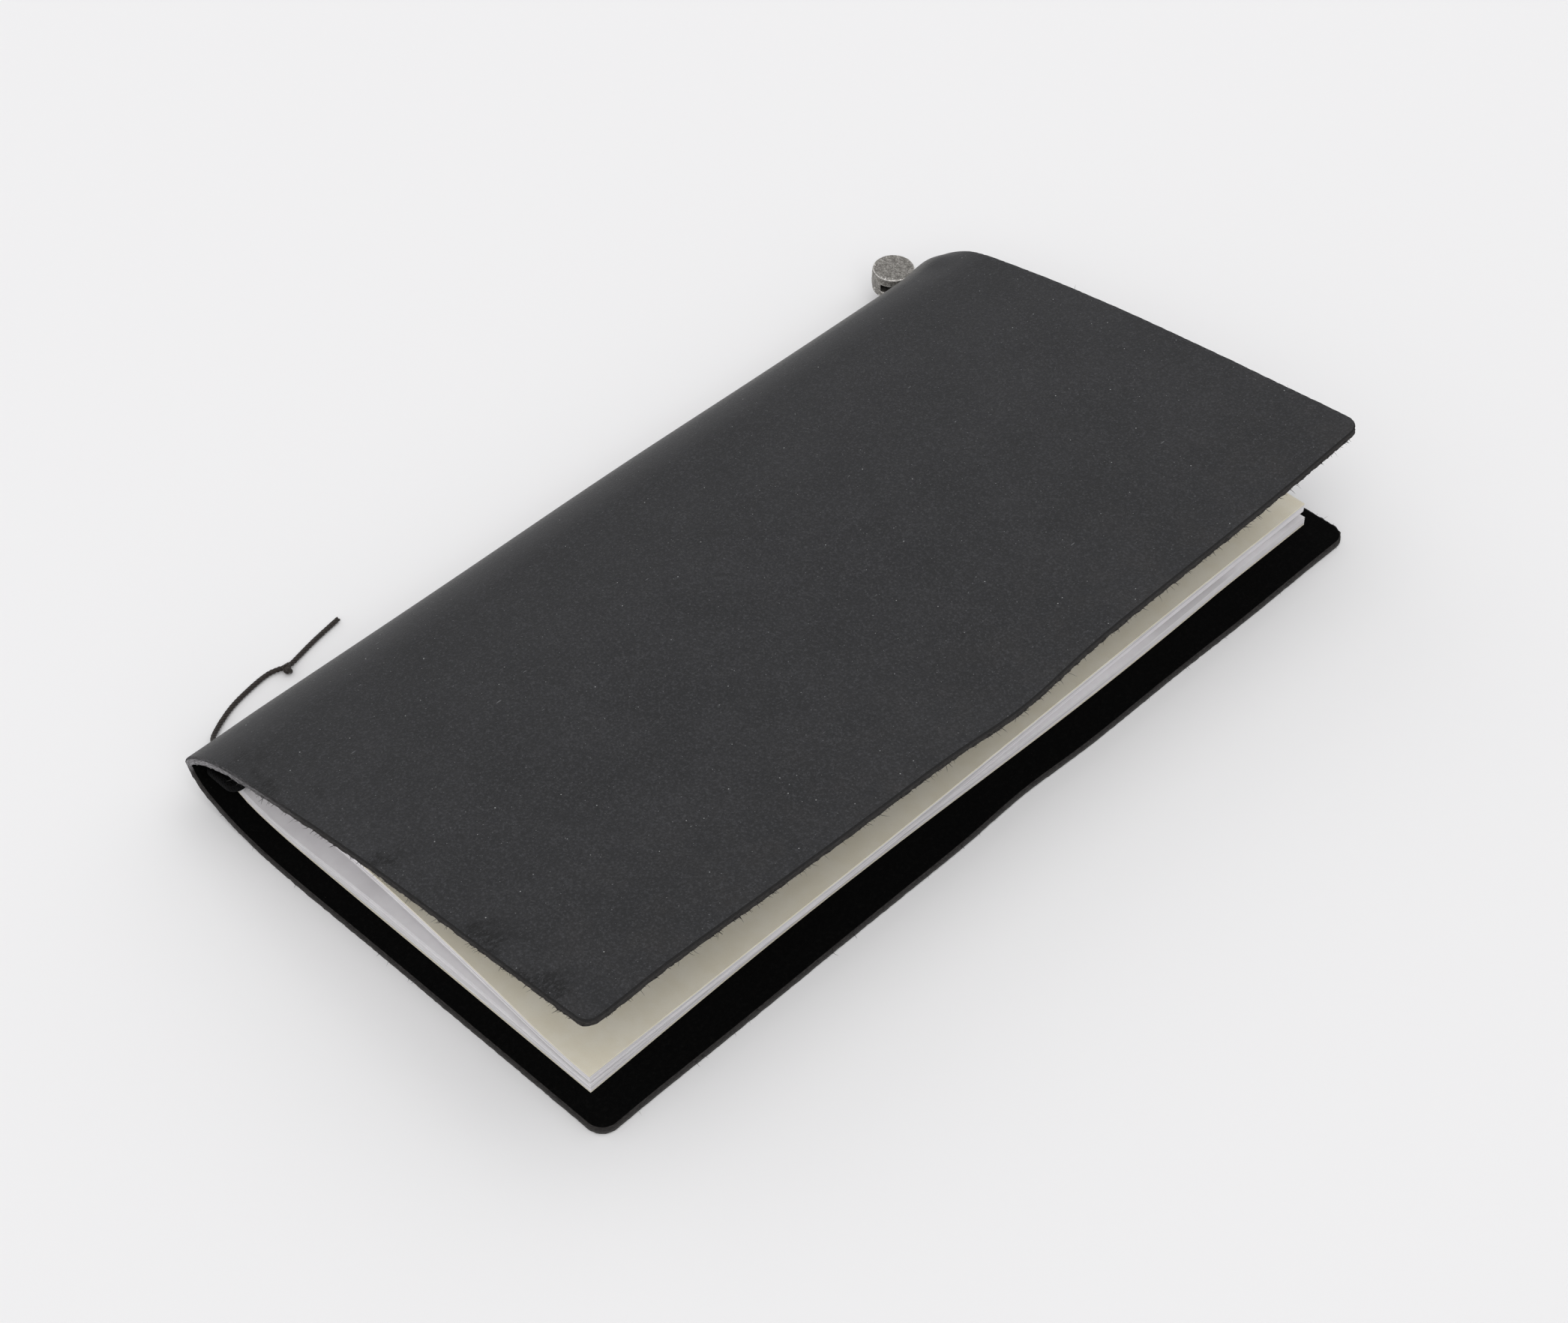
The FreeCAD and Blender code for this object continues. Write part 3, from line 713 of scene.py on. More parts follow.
def cut_holes(parts, grids, rows, columns, holes):
    """Round holes through both sides of the sheet. Returns the cells that they take."""
    taken = set()
    for hole in holes:
        i0, i1 = [index_of([row[0] for row in rows], hole[0] + side * WINDOW) for side in (1, -1)]
        j0, j1 = [index_of(columns, hole[1] + side * WINDOW) for side in (-1, 1)]
        taken |= {(i, j) for i in range(i0, i1) for j in range(j0, j1)}
        ring = [(i0, j) for j in range(j0, j1)] + [(i, j1) for i in range(i0, i1)]
        ring += [(i1, j) for j in range(j1, j0, -1)] + [(i, j0) for i in range(i1, i0, -1)]
        mouths = []
        for grid, offset, kind in ((grids[0], THICK / 2, GRAIN), (grids[1], -THICK / 2, SUEDE)):
            previous = [grid[i][j] for i, j in ring]
            for share in MOUTH_SHARES:
                loop = []
                for i, j in ring:
                    s, y = rows[i][0], columns[j]
                    goal_s, goal_y = on_circle(hole, s, y, HOLE_RADIUS + MOUTH_BEVEL)
                    loop.append(parts.vertex(s + (goal_s - s) * share, y + (goal_y - y) * share, offset))
                parts.bridge(previous, loop, kind, closed=True)
                previous = loop
            mouths.append(previous)
        previous = mouths[0]
        for offset in HOLE_OFFSETS:
            loop = []
            for i, j in ring:
                loop.append(parts.vertex(*on_circle(hole, rows[i][0], columns[j], HOLE_RADIUS), offset))
            parts.bridge(previous, loop, EDGE, closed=True)
            previous = loop
        parts.bridge(previous, mouths[1], EDGE, closed=True)
    return taken


def index_of(values, target):
    """Index of the value nearest to a target."""
    return int(np.argmin([abs(value - target) for value in values]))


def leather_leaf(name, s_end, corners, holes):
    """A thick half of the sheet, from the seam to its rounded end, closed but at the seam."""
    parts = MeshParts()
    half = HALF_LENGTH - EDGE_INSET
    stops_s = [holes[0][0] + WINDOW, holes[0][0] - WINDOW] if holes else []
    stops_y = [-half] + [hole_y + side * WINDOW for _, hole_y in holes for side in (-1, 1)] + [half]
    rows = sheet_rows(SEAM, s_end, stops_s, corners)
    columns = divided(stops_y, CELL)
    grids = []
    for offset in (THICK / 2, -THICK / 2):
        grid = []
        for s, near, far in rows:
            grid.append([parts.vertex(s, y * (near if y < 0 else far) / half, offset) for y in columns])
        grids.append(grid)
    taken = cut_holes(parts, grids, rows, columns, holes)
    for grid, kind in zip(grids, (GRAIN, SUEDE)):
        for i in range(len(rows) - 1):
            for j in range(len(columns) - 1):
                if (i, j) not in taken:
                    parts.face((grid[i][j], grid[i][j + 1], grid[i + 1][j + 1], grid[i + 1][j]), kind)
    add_cut_edge(parts, grids, len(rows), len(columns))
    return parts.build(name, on_sheet, (LEATHER_GRAIN, LEATHER_SUEDE, LEATHER_EDGE))


def boundary(grid, row_count, column_count):
    """Vertices round a grid's three closed sides, from one end of its open side to the other."""
    last_row, last_column = row_count - 1, column_count - 1
    loop = [grid[i][0] for i in range(row_count)]
    loop += [grid[last_row][j] for j in range(1, last_column)]
    loop += [grid[i][last_column] for i in range(last_row, -1, -1)]
    return loop


def add_cut_edge(parts, grids, row_count, column_count):
    """The rounded, slightly frayed cut between the grain side and the flesh side."""
    top = boundary(grids[0], row_count, column_count)
    bottom = boundary(grids[1], row_count, column_count)
    outline = [parts.flat[index][:2] for index in top]
    normals = outward(outline, (0.0, -1.0), (0.0, 1.0))
    previous = top
    for inset, offset in EDGE_SECTION:
        reach = EDGE_INSET - inset * MM
        loop = []
        for (s, y), (out_s, out_y) in zip(outline, normals):
            ragged = reach + edge_noise(s, y, offset * MM)
            loop.append(parts.vertex(s + out_s * ragged, y + out_y * ragged, offset * MM))
        parts.bridge(previous, loop, EDGE)
        previous = loop
    parts.bridge(previous, bottom, EDGE)


SPINE_HOLES = [(HOLE_S, y * MM) for y in HOLES_Y]
REAR_LEAF = leather_leaf("cover_rear_leather", LEATHER.s[0], REAR_CORNERS, SPINE_HOLES)
FRONT_LEAF = leather_leaf("cover_front_leather", LEATHER.s[-1], FRONT_CORNERS, [])
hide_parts("rear_cover", "spine_strip")
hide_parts("front_cover")
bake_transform(REAR_LEAF)
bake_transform(FRONT_LEAF)


# ---------------------------------------------------------------- rings and ends of tubes

def in_space(x, y, z):
    """Points that are in the CAD frame already."""
    return np.stack([x, y, z], axis=-1)


def add_ring(parts, middle, side, up, radii):
    """A loop of vertices round a point, one for each radius."""
    loop = []
    for corner, radius in enumerate(radii):
        angle = 2 * math.pi * corner / len(radii)
        place = middle + side * (math.cos(angle) * radius) + up * (math.sin(angle) * radius)
        loop.append(parts.vertex(*place))
    return loop


def add_end(parts, point, loop):
    """A fan of triangles that closes a tube."""
    middle = parts.vertex(*point)
    for corner in range(len(loop)):
        parts.face((loop[corner], loop[(corner + 1) % len(loop)], middle), 0)


# ---------------------------------------------------------------- loose fibres on the cut edges

FIBRE_RINGS = 4
FIBRE_SIDES = 4
FIBRE_VERTICES = FIBRE_RINGS * FIBRE_SIDES + 1
FIBRE_CORNER = 4.0 * MM         # no fibres this close to a corner
FIBRE_SINK = 0.25 * MM          # how deep a fibre's root lies in the leather
FIBRE_LONGEST = 1.3 * MM


def fibre_shape(parts, root, direction, length, radius, bend):
    """A thin closed hair that tapers from its root to its tip."""
    side = direction.orthogonal().normalized()
    up = direction.cross(side).normalized()
    previous = None
    for step in range(FIBRE_RINGS):
        share = step / FIBRE_RINGS
        middle = root + direction * (length * share) + bend * (share * share * length)
        loop = add_ring(parts, middle, side, up, [radius * (1 - 0.7 * share)] * FIBRE_SIDES)
        if previous is None:
            parts.face(tuple(loop[::-1]), 0)
        else:
            parts.bridge(previous, loop, 0, closed=True)
        previous = loop
    add_end(parts, root + direction * length + bend * length, previous)


def edge_place(way, s_end, run):
    """A place on the cut outline, run from 0 to 1 round it, with its outward direction."""
    side = abs(s_end) - FIBRE_CORNER
    across = 2 * (HALF_LENGTH - FIBRE_CORNER)
    total = 2 * side + across
    distance = run * total
    if distance < side:
        return way * distance, -HALF_LENGTH, (0.0, -1.0)
    if distance < side + across:
        return way * abs(s_end), distance - side - across / 2, (way, 0.0)
    return way * (total - distance), HALF_LENGTH, (0.0, 1.0)


def loose_fibres(name, s_end, s_least, count, seed):
    """Hairs of the flesh side that stand out of the cut edge."""
    rng = random.Random(seed)
    parts = MeshParts()
    way = 1.0 if s_end > 0 else -1.0
    while len(parts.flat) < count * FIBRE_VERTICES:
        s, y, out = edge_place(way, s_end, rng.random())
        offset = rng.uniform(-0.85, -0.1) * MM
        length = (0.2 + rng.expovariate(2.8)) * MM
        radius = rng.uniform(0.03, 0.075) * MM
        if abs(s) < s_least:
            continue
        root = Vector(on_sheet(s - out[0] * FIBRE_SINK, y - out[1] * FIBRE_SINK, offset))
        ahead = Vector(on_sheet(s + out[0] * MM, y + out[1] * MM, offset)) - root
        swing = Vector((rng.gauss(0, 0.5), rng.gauss(0, 0.5), rng.gauss(-0.1, 0.35)))
        direction = (ahead.normalized() + swing * 0.8).normalized()
        bend = Vector((rng.gauss(0, 0.3), rng.gauss(0, 0.3), rng.gauss(0, 0.25)))
        fibre_shape(parts, root, direction, min(length, FIBRE_LONGEST) + FIBRE_SINK, radius, bend)
    return parts.build(name, in_space, (LEATHER_EDGE,))


FRONT_FIBRES = loose_fibres("cover_front_fibres", LEATHER.s[-1], SEAM, 900, SEED)
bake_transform(FRONT_FIBRES)
REAR_FIBRES = loose_fibres("cover_rear_fibres", LEATHER.s[0], 12 * MM, 240, SEED + 1)
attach(REAR_FIBRES, "rear_cover")


# ---------------------------------------------------------------- the booklet
# Sheets are folded together round BOOK_FOLD. Distance d is negative on the rear half.

BLOCKS = 4
SHEETS_IN_BLOCK = 4
BLOCK_PITCH = 0.5 * MM
FIRST_OFFSET = 0.1 * MM
SHEET_PITCH = 0.1 * MM
PAPER_THICK = 0.085 * MM
CARD_OFFSETS = (2.1 * MM, 2.4 * MM)
BACK_BEND = [(2.5, 34), (6, 18), (12, 8)]
BACK_HEADING = -60.0
PAGE_HEADING = 27.25
PAGE_RUNS = [(8, -18.5), (16, -6), (18, -7.5), (22, -4), (22, -2), (17.5, 10.5)]
NOSE_STEPS = 10
NOSE_LENGTH = 5.0 * MM
BACK_SPACING = 5.0 * MM
PAGE_SPACING = 3.5 * MM
SHEET_COLUMNS = 37


class BookLine:
    """Stations along the folded booklet: run, distance, x, z and the angle of the outward normal.

    The run is the place on the laid-out sheet: 0 where the front half leaves the fold, and
    -NOSE_LENGTH where the rear half does. The distance d is 0 all round the nose.
    """

    def __init__(self):
        bend = run_out(BOOK_FOLD, BACK_HEADING, BACK_BEND)
        flat = (CARD_HIGH.x - bend[1][-1]) / MM
        back = run_out(BOOK_FOLD, BACK_HEADING, BACK_BEND + [(flat, 0.0)])
        page = run_out(BOOK_FOLD, PAGE_HEADING, PAGE_RUNS)
        stations = []
        back_normal = self.normals(back) - math.pi
        page_normal = self.normals(page)
        for i in self.picks(back[0], BACK_SPACING)[::-1]:
            normal = back_normal[i] + 2 * math.pi
            stations.append((-back[0][i] - NOSE_LENGTH, -back[0][i], back[1][i], back[2][i], normal))
        first, last = back_normal[0] + 2 * math.pi, page_normal[0]
        for step in range(1, NOSE_STEPS):
            share = step / NOSE_STEPS
            angle = first + (last - first) * share
            stations.append(((share - 1) * NOSE_LENGTH, 0.0, BOOK_FOLD.x, BOOK_FOLD.z, angle))
        for i in self.picks(page[0], PAGE_SPACING):
            stations.append((page[0][i], page[0][i], page[1][i], page[2][i], page_normal[i]))
        self.run, self.d, self.x, self.z, self.normal = np.array(stations).T

    @staticmethod
    def normals(line):
        return np.arctan2(np.gradient(line[2]), np.gradient(line[1])) + math.pi / 2

    @staticmethod
    def picks(distance, step):
        """Indices spread along a line, closer together near the fold."""
        count = round(distance[-1] / step)
        shares = (np.arange(count + 1) / count) ** 1.25
        return np.round(shares * (len(distance) - 1)).astype(int)


BOOK = BookLine()
BACK_LENGTH = -BOOK.d[0]
PAGE_LENGTH = BOOK.d[-1]
HALF_BOOK = (CARD_HIGH.y - CARD_LOW.y) / 2
OUTERMOST = CARD_OFFSETS[1]


def book_shift(d, y, offset):
    """How the real sheets leave the plain line: the rear bulges and waves, the front lifts at +Y."""
    depth = np.clip(offset / OUTERMOST, 0.0, 1.0)
    hump = smooth_step(-d, 9 * MM, 50 * MM) * smooth_step(-d, BACK_LENGTH - 2 * MM, 66 * MM)
    bulge = 1.5 * hump * (1 - depth)
    reach = np.clip(d / PAGE_LENGTH, 0.0, 1.0) ** 1.5
    far = smooth_step(y, -40 * MM, 105 * MM)
    lift = reach * far * 1.1
    slack = 0.10 * np.sin(y / (24 * MM) + 0.6) * reach
    rear_wave = np.maximum(0.7 * np.sin((y + 3 * MM) / (27.5 * MM)) + 0.1, np.where(y > 0, 0.25, -1.0))
    rear_wave = rear_wave * smooth_step(-d, 40 * MM, 100 * MM)
    shift_x = rear_wave + (0.35 - 0.75 * far) * reach
    grown = smooth_step(np.abs(d), 8 * MM, 40 * MM)
    shift_y = np.where(y > 0, 0.45, 0.13) * grown * y / HALF_BOOK
    return shift_x * MM, shift_y * MM, (bulge + lift + slack) * MM


def on_book(run, y, offset):
    """Points of the booklet from a station's run, a place along the spine, and an offset outwards."""
    index = np.rint(np.interp(run, BOOK.run, np.arange(len(BOOK.run)))).astype(int)
    d, x, z, normal = BOOK.d[index], BOOK.x[index], BOOK.z[index], BOOK.normal[index]
    shift_x, shift_y, shift_z = book_shift(d, y, offset)
    return np.stack([
        x + np.cos(normal) * offset + shift_x,
        y + shift_y,
        z + np.sin(normal) * offset + shift_z,
    ], axis=-1)


def add_folded_sheet(parts, offset, thick, trim, rng):
    """One sheet through both halves: two sides and the cut rim between them."""
    columns = np.linspace(-HALF_BOOK + trim, HALF_BOOK - trim * rng.random(), SHEET_COLUMNS)
    grids = []
    for side in (offset + thick / 2, offset - thick / 2):
        grids.append([[parts.vertex(run, y, side) for y in columns] for run in BOOK.run])
    for grid in grids:
        for low, high in zip(grid, grid[1:]):
            parts.bridge(low, high, 0)
    upper, lower = grids
    parts.bridge(upper[0], lower[0], 0)
    parts.bridge(upper[-1], lower[-1], 0)
    for j in (0, -1):
        parts.bridge([row[j] for row in upper], [row[j] for row in lower], 0)


def blend_at_book_fold(piece):
    """Bakes the piece's place into its mesh."""
    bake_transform(piece)


def leaf_block(number):
    """Four sheets of the booklet in one piece. Block 1 is the innermost."""
    rng = random.Random(SEED + 10 * number)
    parts = MeshParts()
    inner = FIRST_OFFSET + (number - 1) * BLOCK_PITCH
    for sheet in range(SHEETS_IN_BLOCK):
        offset = inner + (sheet + 0.5) * SHEET_PITCH
        add_folded_sheet(parts, offset, PAPER_THICK, rng.uniform(0.0, 0.18) * MM, rng)
    block = parts.build(f"leaves_block_{number}", on_book, (PAPER,), sharp_angle=50)
    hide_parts(f"rear_leaves_{number}", f"front_leaves_{number}")
    blend_at_book_fold(block)


def card_cover():
    """The booklet's own cover of cream card."""
    rng = random.Random(SEED)
    parts = MeshParts()
    low, high = CARD_OFFSETS
    add_folded_sheet(parts, (low + high) / 2, high - low, 0.0, rng)
    card = parts.build("booklet_card", on_book, (CARD,), sharp_angle=50)
    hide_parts("rear_card", "front_card")
    blend_at_book_fold(card)


for number in range(1, BLOCKS + 1):
    leaf_block(number)
card_cover()


# ---------------------------------------------------------------- cords

SPLINE_RESOLUTION = 12


def spline_points(name, route):
    """Points along the smooth line of a route, its points being control points."""
    data = bpy.data.curves.new(name, "CURVE")
    data.dimensions = "3D"
    data.resolution_u = SPLINE_RESOLUTION
    spline = data.splines.new("NURBS")
    spline.points.add(len(route) - 1)
    for point, place in zip(spline.points, route):
        point.co = (*place, 1.0)
    spline.order_u = 3
    spline.use_endpoint_u = True
    holder = bpy.data.objects.new(name, data)
    mesh = bpy.data.meshes.new_from_object(holder)
    points = [vertex.co.copy() for vertex in mesh.vertices]
    bpy.data.objects.remove(holder)
    bpy.data.curves.remove(data)
    bpy.data.meshes.remove(mesh)
    return points


def run_along(path):
    """Distance from the start of a path to each of its points."""
    lengths = np.linalg.norm(np.diff(path, axis=0), axis=1)
    return np.concatenate([[0.0], np.cumsum(lengths)])


def evenly(points, step):
    """Points a step apart along a line of points, with its two ends kept."""
    places = np.array([tuple(point) for point in points])
    distance = run_along(places)
    count = max(2, round(distance[-1] / step))
    goals = np.linspace(0.0, distance[-1], count + 1)
    return np.stack([np.interp(goals, distance, places[:, axis]) for axis in range(3)], axis=1)


def carried_frames(path):
    """Tangent and two side directions along a path, carried without twist."""
    tangents = np.gradient(path, axis=0)
    tangents /= np.linalg.norm(tangents, axis=1)[:, None]
    side = Vector(tangents[0]).orthogonal().normalized()
    frames = []
    for tangent in tangents:
        along = Vector(tangent)
        side = (side - along * side.dot(along)).normalized()
        frames.append((along, side, along.cross(side)))
    return frames


def add_tube(parts, path, radius_at, sides):
    """A closed tube along a path. radius_at gives its radius from the ring and the side."""
    previous = None
    for ring, (point, (_, side, up)) in enumerate(zip(path, carried_frames(path))):
        radii = [radius_at(ring, corner) for corner in range(sides)]
        loop = add_ring(parts, Vector(point), side, up, radii)
        if previous is None:
            add_end(parts, point, loop)
        else:
            parts.bridge(previous, loop, 0, closed=True)
        previous = loop
    add_end(parts, path[-1], previous)


STRANDS = 3
STRAND_SIDES = 8
STRAND_SWELL = 0.06             # share by which a strand's radius varies
STRAND_RADIUS = 0.300 * MM
STRAND_REACH = 0.270 * MM
TWIST_PITCH = 2.6 * MM
KNOT_SETTLED = Vector((0.4, 0.1, 0.1)) * MM
KNOT_STEPS = 96
KNOT_SHAPE = (0.17, 0.35, 0.46)  # mm, across, along and up
KNOT_PITCH = 1.9 * MM
KNOT_SCALE = 0.92               # its strands against the tail's
KNOT_HEADING = 71.0             # the tail's way through the knot, in degrees from +X


def add_twisted_cord(parts, path, pitch=TWIST_PITCH, scale=1.0):
    """Strands that wind round a path."""
    frames = carried_frames(path)
    distance = run_along(path)
    reach = STRAND_REACH * scale
    for strand in range(STRANDS):
        line = []
        for point, (_, side, up), run in zip(path, frames, distance):
            angle = 2 * math.pi * (run / pitch + strand / STRANDS)
            line.append(np.array(Vector(point) + (side * math.cos(angle) + up * math.sin(angle)) * reach))
        wobble = random.Random(SEED + strand)
        swell = [1 + STRAND_SWELL * wobble.uniform(-1, 1) for _ in line]
        add_tube(parts, np.array(line), lambda ring, _: STRAND_RADIUS * scale * swell[ring], STRAND_SIDES)


FOLDED_WIDTH = 118.5 * MM
SPINE_X = COVER_HIGH.x - FOLDED_WIDTH   # the back of the spine, from which routes are measured


def placed(route):
    """A route in metres in the CAD frame, from millimetres behind and along the spine."""
    return [Vector((SPINE_X + x * MM, y * MM, z * MM)) for x, y, z in route]


TAIL = [
    (0.7, -95.75, 7.1),
    (-1.8, -96.6, 5.9),
    (-3.7, -97.9, 4.4),
    (-5.6, -98.9, 2.9),
    (-7.5, -98.8, 1.7),
    (-9.1, -97.6, 1.05),
    (-10.55, -95.4, 0.8),
    (-12.05, -92.5, 0.7),
    (-13.45, -89.1, 0.65),
    (-14.35, -85.4, 0.64),
    (-15.05, -81.4, 0.65),
    (-15.35, -78.3, 0.68),
    (-14.75, -76.2, 0.8),
    (-13.95, -74.7, 0.95),
    (-14.0, -73.1, 0.8),
    (-14.8, -70.4, 0.66),
    (-15.95, -65.8, 0.64),
    (-16.65, -61.8, 0.66),
    (-17.35, -57.85, 0.63),
]


def bookmark_tail():
    """The free end of the bookmark, with its knot."""
    path = evenly(spline_points("tail_route", placed(TAIL)), 0.25 * MM)
    parts = MeshParts()
    add_twisted_cord(parts, path)
    tail = parts.build("bookmark_tail_cord", in_space, (WAXED,))
    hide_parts("bookmark_tail")
    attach(tail, "rear_cover")
    knot = overhand_knot()


def overhand_knot():
    """A small overhand knot: a trefoil of the same cord, pulled tight round the tail."""
    centre = (KNOT_LOW + KNOT_HIGH) / 2 + KNOT_SETTLED
    lying = Matrix.Rotation(math.radians(KNOT_HEADING), 3, "Z")
    points = []
    for step in range(KNOT_STEPS + 1):
        t = 2 * math.pi * step / KNOT_STEPS
        local = Vector((
            (math.cos(t) - 2 * math.cos(2 * t)) * KNOT_SHAPE[0],
            (math.sin(t) + 2 * math.sin(2 * t)) * KNOT_SHAPE[1],
            -math.sin(3 * t) * KNOT_SHAPE[2],
        ))
        points.append(centre + lying @ local * MM)
    parts = MeshParts()
    path = np.array([tuple(point) for point in points])
    add_twisted_cord(parts, path, pitch=KNOT_PITCH, scale=KNOT_SCALE)
    knot = parts.build("bookmark_knot_cord", in_space, (WAXED,))
    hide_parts("bookmark_knot")
    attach(knot, "rear_cover")
    return knot


bookmark_tail()

# The cords' ends that the clasp grips reach back into the spine holes.
ELASTIC_ENDS = [
    [(1.9, 97.6, 7.2), (0.6, 97.6, 7.2), (-0.9, 97.9, 7.2), (-2.4, 98.2, 7.25), (-6.4, 98.3, 7.2)],
    [(1.9, 103.3, 7.2), (0.6, 103.2, 7.2), (-0.9, 102.6, 7.2), (-2.4, 102.1, 7.25), (-6.4, 101.8, 7.2)],
]
BOOKMARK_END = [
    (1.9, 101.8, 7.2), (0.6, 101.7, 7.2), (-0.9, 101.2, 7.2), (-2.4, 100.4, 7.25), (-6.4, 100.0, 7.2),
]
ELASTIC_RADIUS = 0.8 * MM
BRAID_SIDES = 16


def braid_radius(ring, corner):
    """Radius of a braided sleeve: two crossing sets of ribs."""
    turn = 2 * math.pi * corner / BRAID_SIDES
    rising = math.sin(ring * 0.55 + turn * 4)
    falling = math.sin(ring * 0.55 - turn * 4)
    return ELASTIC_RADIUS * (0.965 + 0.045 * max(rising, falling))


def grip_blend(piece):
    """Bakes the piece's place into its mesh."""
    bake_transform(piece)


def clasp_cords():
    """The two ends of the elastic and the bookmark's upper end, up to the clasp."""
    parts = MeshParts()
    for route in ELASTIC_ENDS:
        path = evenly(spline_points("end_route", placed(route)), 0.12 * MM)
        add_tube(parts, path, braid_radius, BRAID_SIDES)
    ends = parts.build("elastic_grip_ends", in_space, (ELASTIC,))
    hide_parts("elastic_ends")
    grip_blend(ends)
    parts = MeshParts()
    add_twisted_cord(parts, evenly(spline_points("bookmark_route", placed(BOOKMARK_END)), 0.2 * MM))
    upper = parts.build("bookmark_grip_end", in_space, (WAXED,))
    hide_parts("bookmark_upper_end")
    grip_blend(upper)


clasp_cords()


# ---------------------------------------------------------------- clasp

CLASP_SETTLED = Vector((0.25, 0.0, 0.25)) * MM
CLASP_RADIUS = 5.0 * MM
CLASP_HALF = (CLASP_HIGH.z - CLASP_LOW.z) / 2
CLASP_SLOT = 2.0 * MM
CLASP_WALL = 1.3 * MM
CLASP_VOXEL = 0.11 * MM
CLASP_SIDES = 96
CAST_ROUGHNESS = 0.05 * MM
# Half of the turned outline: share of the radius, and share of the half height.
CLASP_OUTLINE = [
    (0.0, 0.93), (0.5, 0.935), (0.80, 0.955), (0.90, 1.0), (0.945, 0.985), (0.965, 0.90), (1.0, 0.35),
]


def turned(name, outline, centre, segments):
    """A closed solid turned about a vertical axis, mirrored about its middle."""
    shell = bmesh.new()
    profile = outline + [(radius, -height) for radius, height in outline[::-1]]
    rings = []
    for radius, height in profile:
        if radius == 0.0:
            rings.append([shell.verts.new(centre + Vector((0, 0, height)))])
            continue
        ring = []
        for step in range(segments):
            angle = 2 * math.pi * step / segments
            place = Vector((radius * math.cos(angle), radius * math.sin(angle), height))
            ring.append(shell.verts.new(centre + place))
        rings.append(ring)
    for low, high in zip(rings, rings[1:]):
        for i in range(segments):
            j = (i + 1) % segments
            corners = [low[i % len(low)], low[j % len(low)], high[j % len(high)], high[i % len(high)]]
            shell.faces.new(list(dict.fromkeys(corners)))
    bmesh.ops.recalc_face_normals(shell, faces=shell.faces)
    mesh = bpy.data.meshes.new(name)
    shell.to_mesh(mesh)
    shell.free()
    return add_object(name, mesh)


def apply_modifiers(piece):
    """Makes what the modifiers show the piece's own mesh."""
    evaluated = piece.evaluated_get(bpy.context.evaluated_depsgraph_get())
    mesh = bpy.data.meshes.new_from_object(evaluated)
    piece.modifiers.clear()
    piece.data = mesh


def tin_clasp():
    """Clam-shell of cast tin: two dished discs, joined away from the spine and open towards it."""
    centre = (CLASP_LOW + CLASP_HIGH) / 2 + CLASP_SETTLED
    outline = [(radius * CLASP_RADIUS, height * CLASP_HALF) for radius, height in CLASP_OUTLINE]
    shell = turned("tin_clasp", outline, centre, CLASP_SIDES)
    slot = [(0.0, CLASP_SLOT / 2), (CLASP_RADIUS, CLASP_SLOT / 2)]
    cutter = turned("clasp_cutter", slot, centre + Vector((CLASP_WALL, 0, 0)), CLASP_SIDES)
    cut = shell.modifiers.new("slot", "BOOLEAN")
    cut.object = cutter
    cut.solver = "EXACT"
    grid = shell.modifiers.new("grid", "REMESH")
    grid.mode = "VOXEL"
    grid.voxel_size = CLASP_VOXEL
    apply_modifiers(shell)
    bpy.data.objects.remove(cutter)
    roughen(shell, CAST_ROUGHNESS)
    shell.data.materials.append(TIN)
    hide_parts("clasp")
    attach(shell, "clasp")


def roughen(piece, height):
    """A cast surface: each point moves along its normal by noise."""
    mesh = piece.data
    normals = [vertex.normal.copy() for vertex in mesh.vertices]
    for vertex, normal in zip(mesh.vertices, normals):
        where = vertex.co / MM
        amount = noise.noise(where * 1.3) * 0.7 + noise.noise(where * 3.6) * 0.5
        vertex.co += normal * (amount * height)
    for polygon in mesh.polygons:
        polygon.use_smooth = True


tin_clasp()


# ---------------------------------------------------------------- CAD nodes that stay

def refinish(node, material):
    """Gives a carried-over CAD node a better material."""
    mesh = frame["nodes"][node].data
    mesh.materials.clear()
    mesh.materials.append(material)


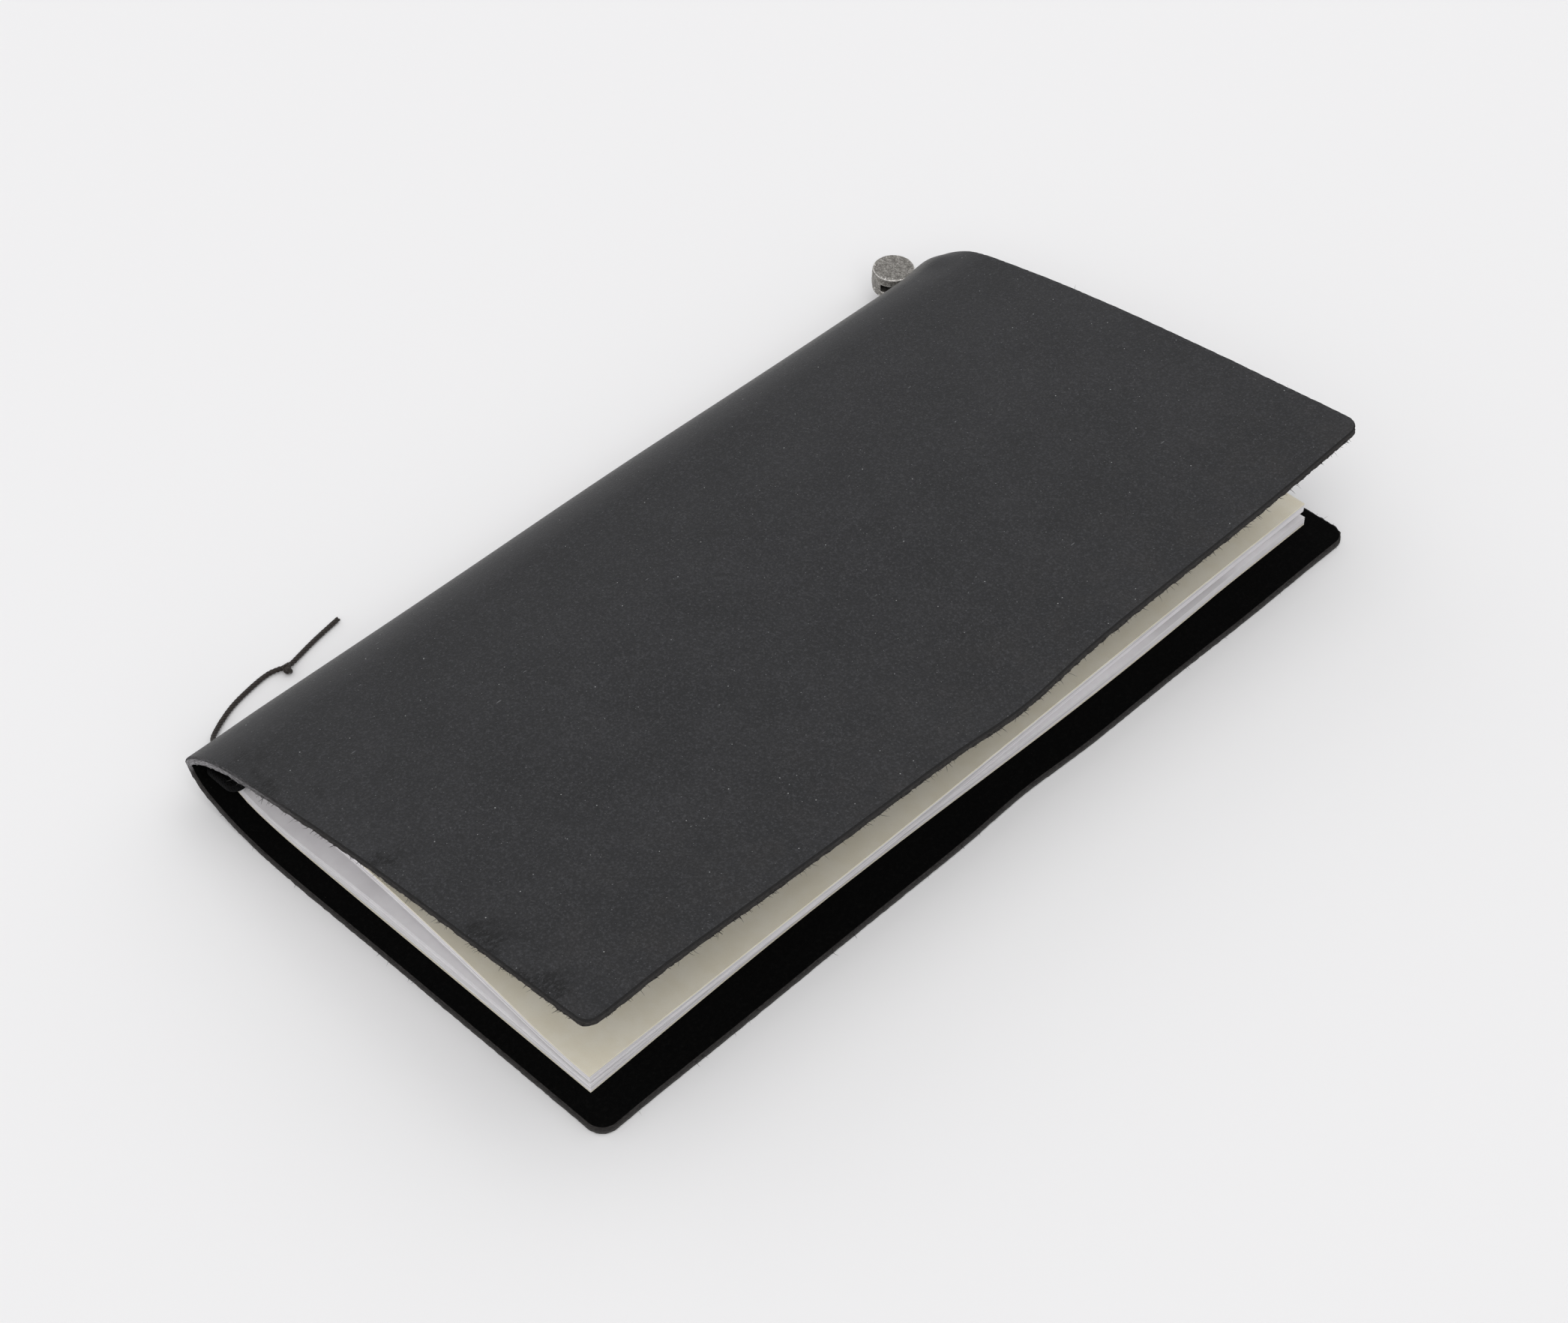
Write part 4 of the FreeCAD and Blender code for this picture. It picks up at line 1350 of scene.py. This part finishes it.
refinish("spine_elastic", ELASTIC)
refinish("bookmark_inner_run", WAXED)
refinish("staples", STEEL)


# ---------------------------------------------------------------- floor and light

FLOOR_HALF = 12.0
FLOOR_COLOUR = (0.885, 0.885, 0.89)
SKY_COLOUR = (0.955, 0.962, 1.0, 1.0)
SKY_STRENGTH = 0.465
LAMP_COLOUR = (1.0, 0.985, 0.960)
# Name, azimuth, elevation, strength and spread, with the angles in degrees.
LAMPS = [
    ("camera_light", 45.0, 50.0, 0.78, 50.0),
    ("back_light", 180.0, 40.0, 0.36, 70.0),
    ("top_light", 0.0, 88.0, 0.60, 80.0),
    ("spine_light", 275.0, 22.0, 0.29, 50.0),
    ("right_light", 75.0, 20.0, 0.32, 50.0),
    ("near_light", 0.0, 22.0, 0.20, 50.0),
]


def studio_floor():
    """A plain pale floor that fills the view."""
    mesh = bpy.data.meshes.new("floor")
    corners = [(x * FLOOR_HALF, y * FLOOR_HALF, 0) for x, y in ((-1, -1), (1, -1), (1, 1), (-1, 1))]
    mesh.from_pydata(corners, [], [(0, 1, 2, 3)])
    s = Shader("floor")
    s.set(Base_Color=FLOOR_COLOUR, Roughness=0.9, Specular_IOR_Level=0.1)
    mesh.materials.append(s.material)
    floor = add_object("floor", mesh)


def soft_lamp(name, azimuth, elevation, strength, spread):
    """A very wide, distant lamp, placed by azimuth and elevation like the camera."""
    data = bpy.data.lights.new(name, "SUN")
    data.energy = strength
    data.angle = math.radians(spread)
    data.color = LAMP_COLOUR
    lamp = add_object(name, data)
    lamp.location = away(azimuth, elevation)
    face_back(lamp, away(azimuth, elevation))


def studio_light():
    """A pale sky and soft lamps all round."""
    world = bpy.data.worlds.new("studio")
    world.use_nodes = True
    background = world.node_tree.nodes["Background"]
    background.inputs["Color"].default_value = SKY_COLOUR
    background.inputs["Strength"].default_value = SKY_STRENGTH
    bpy.context.scene.world = world
    for lamp in LAMPS:
        soft_lamp(*lamp)


studio_floor()
studio_light()
bpy.context.scene.view_settings.view_transform = "Standard"
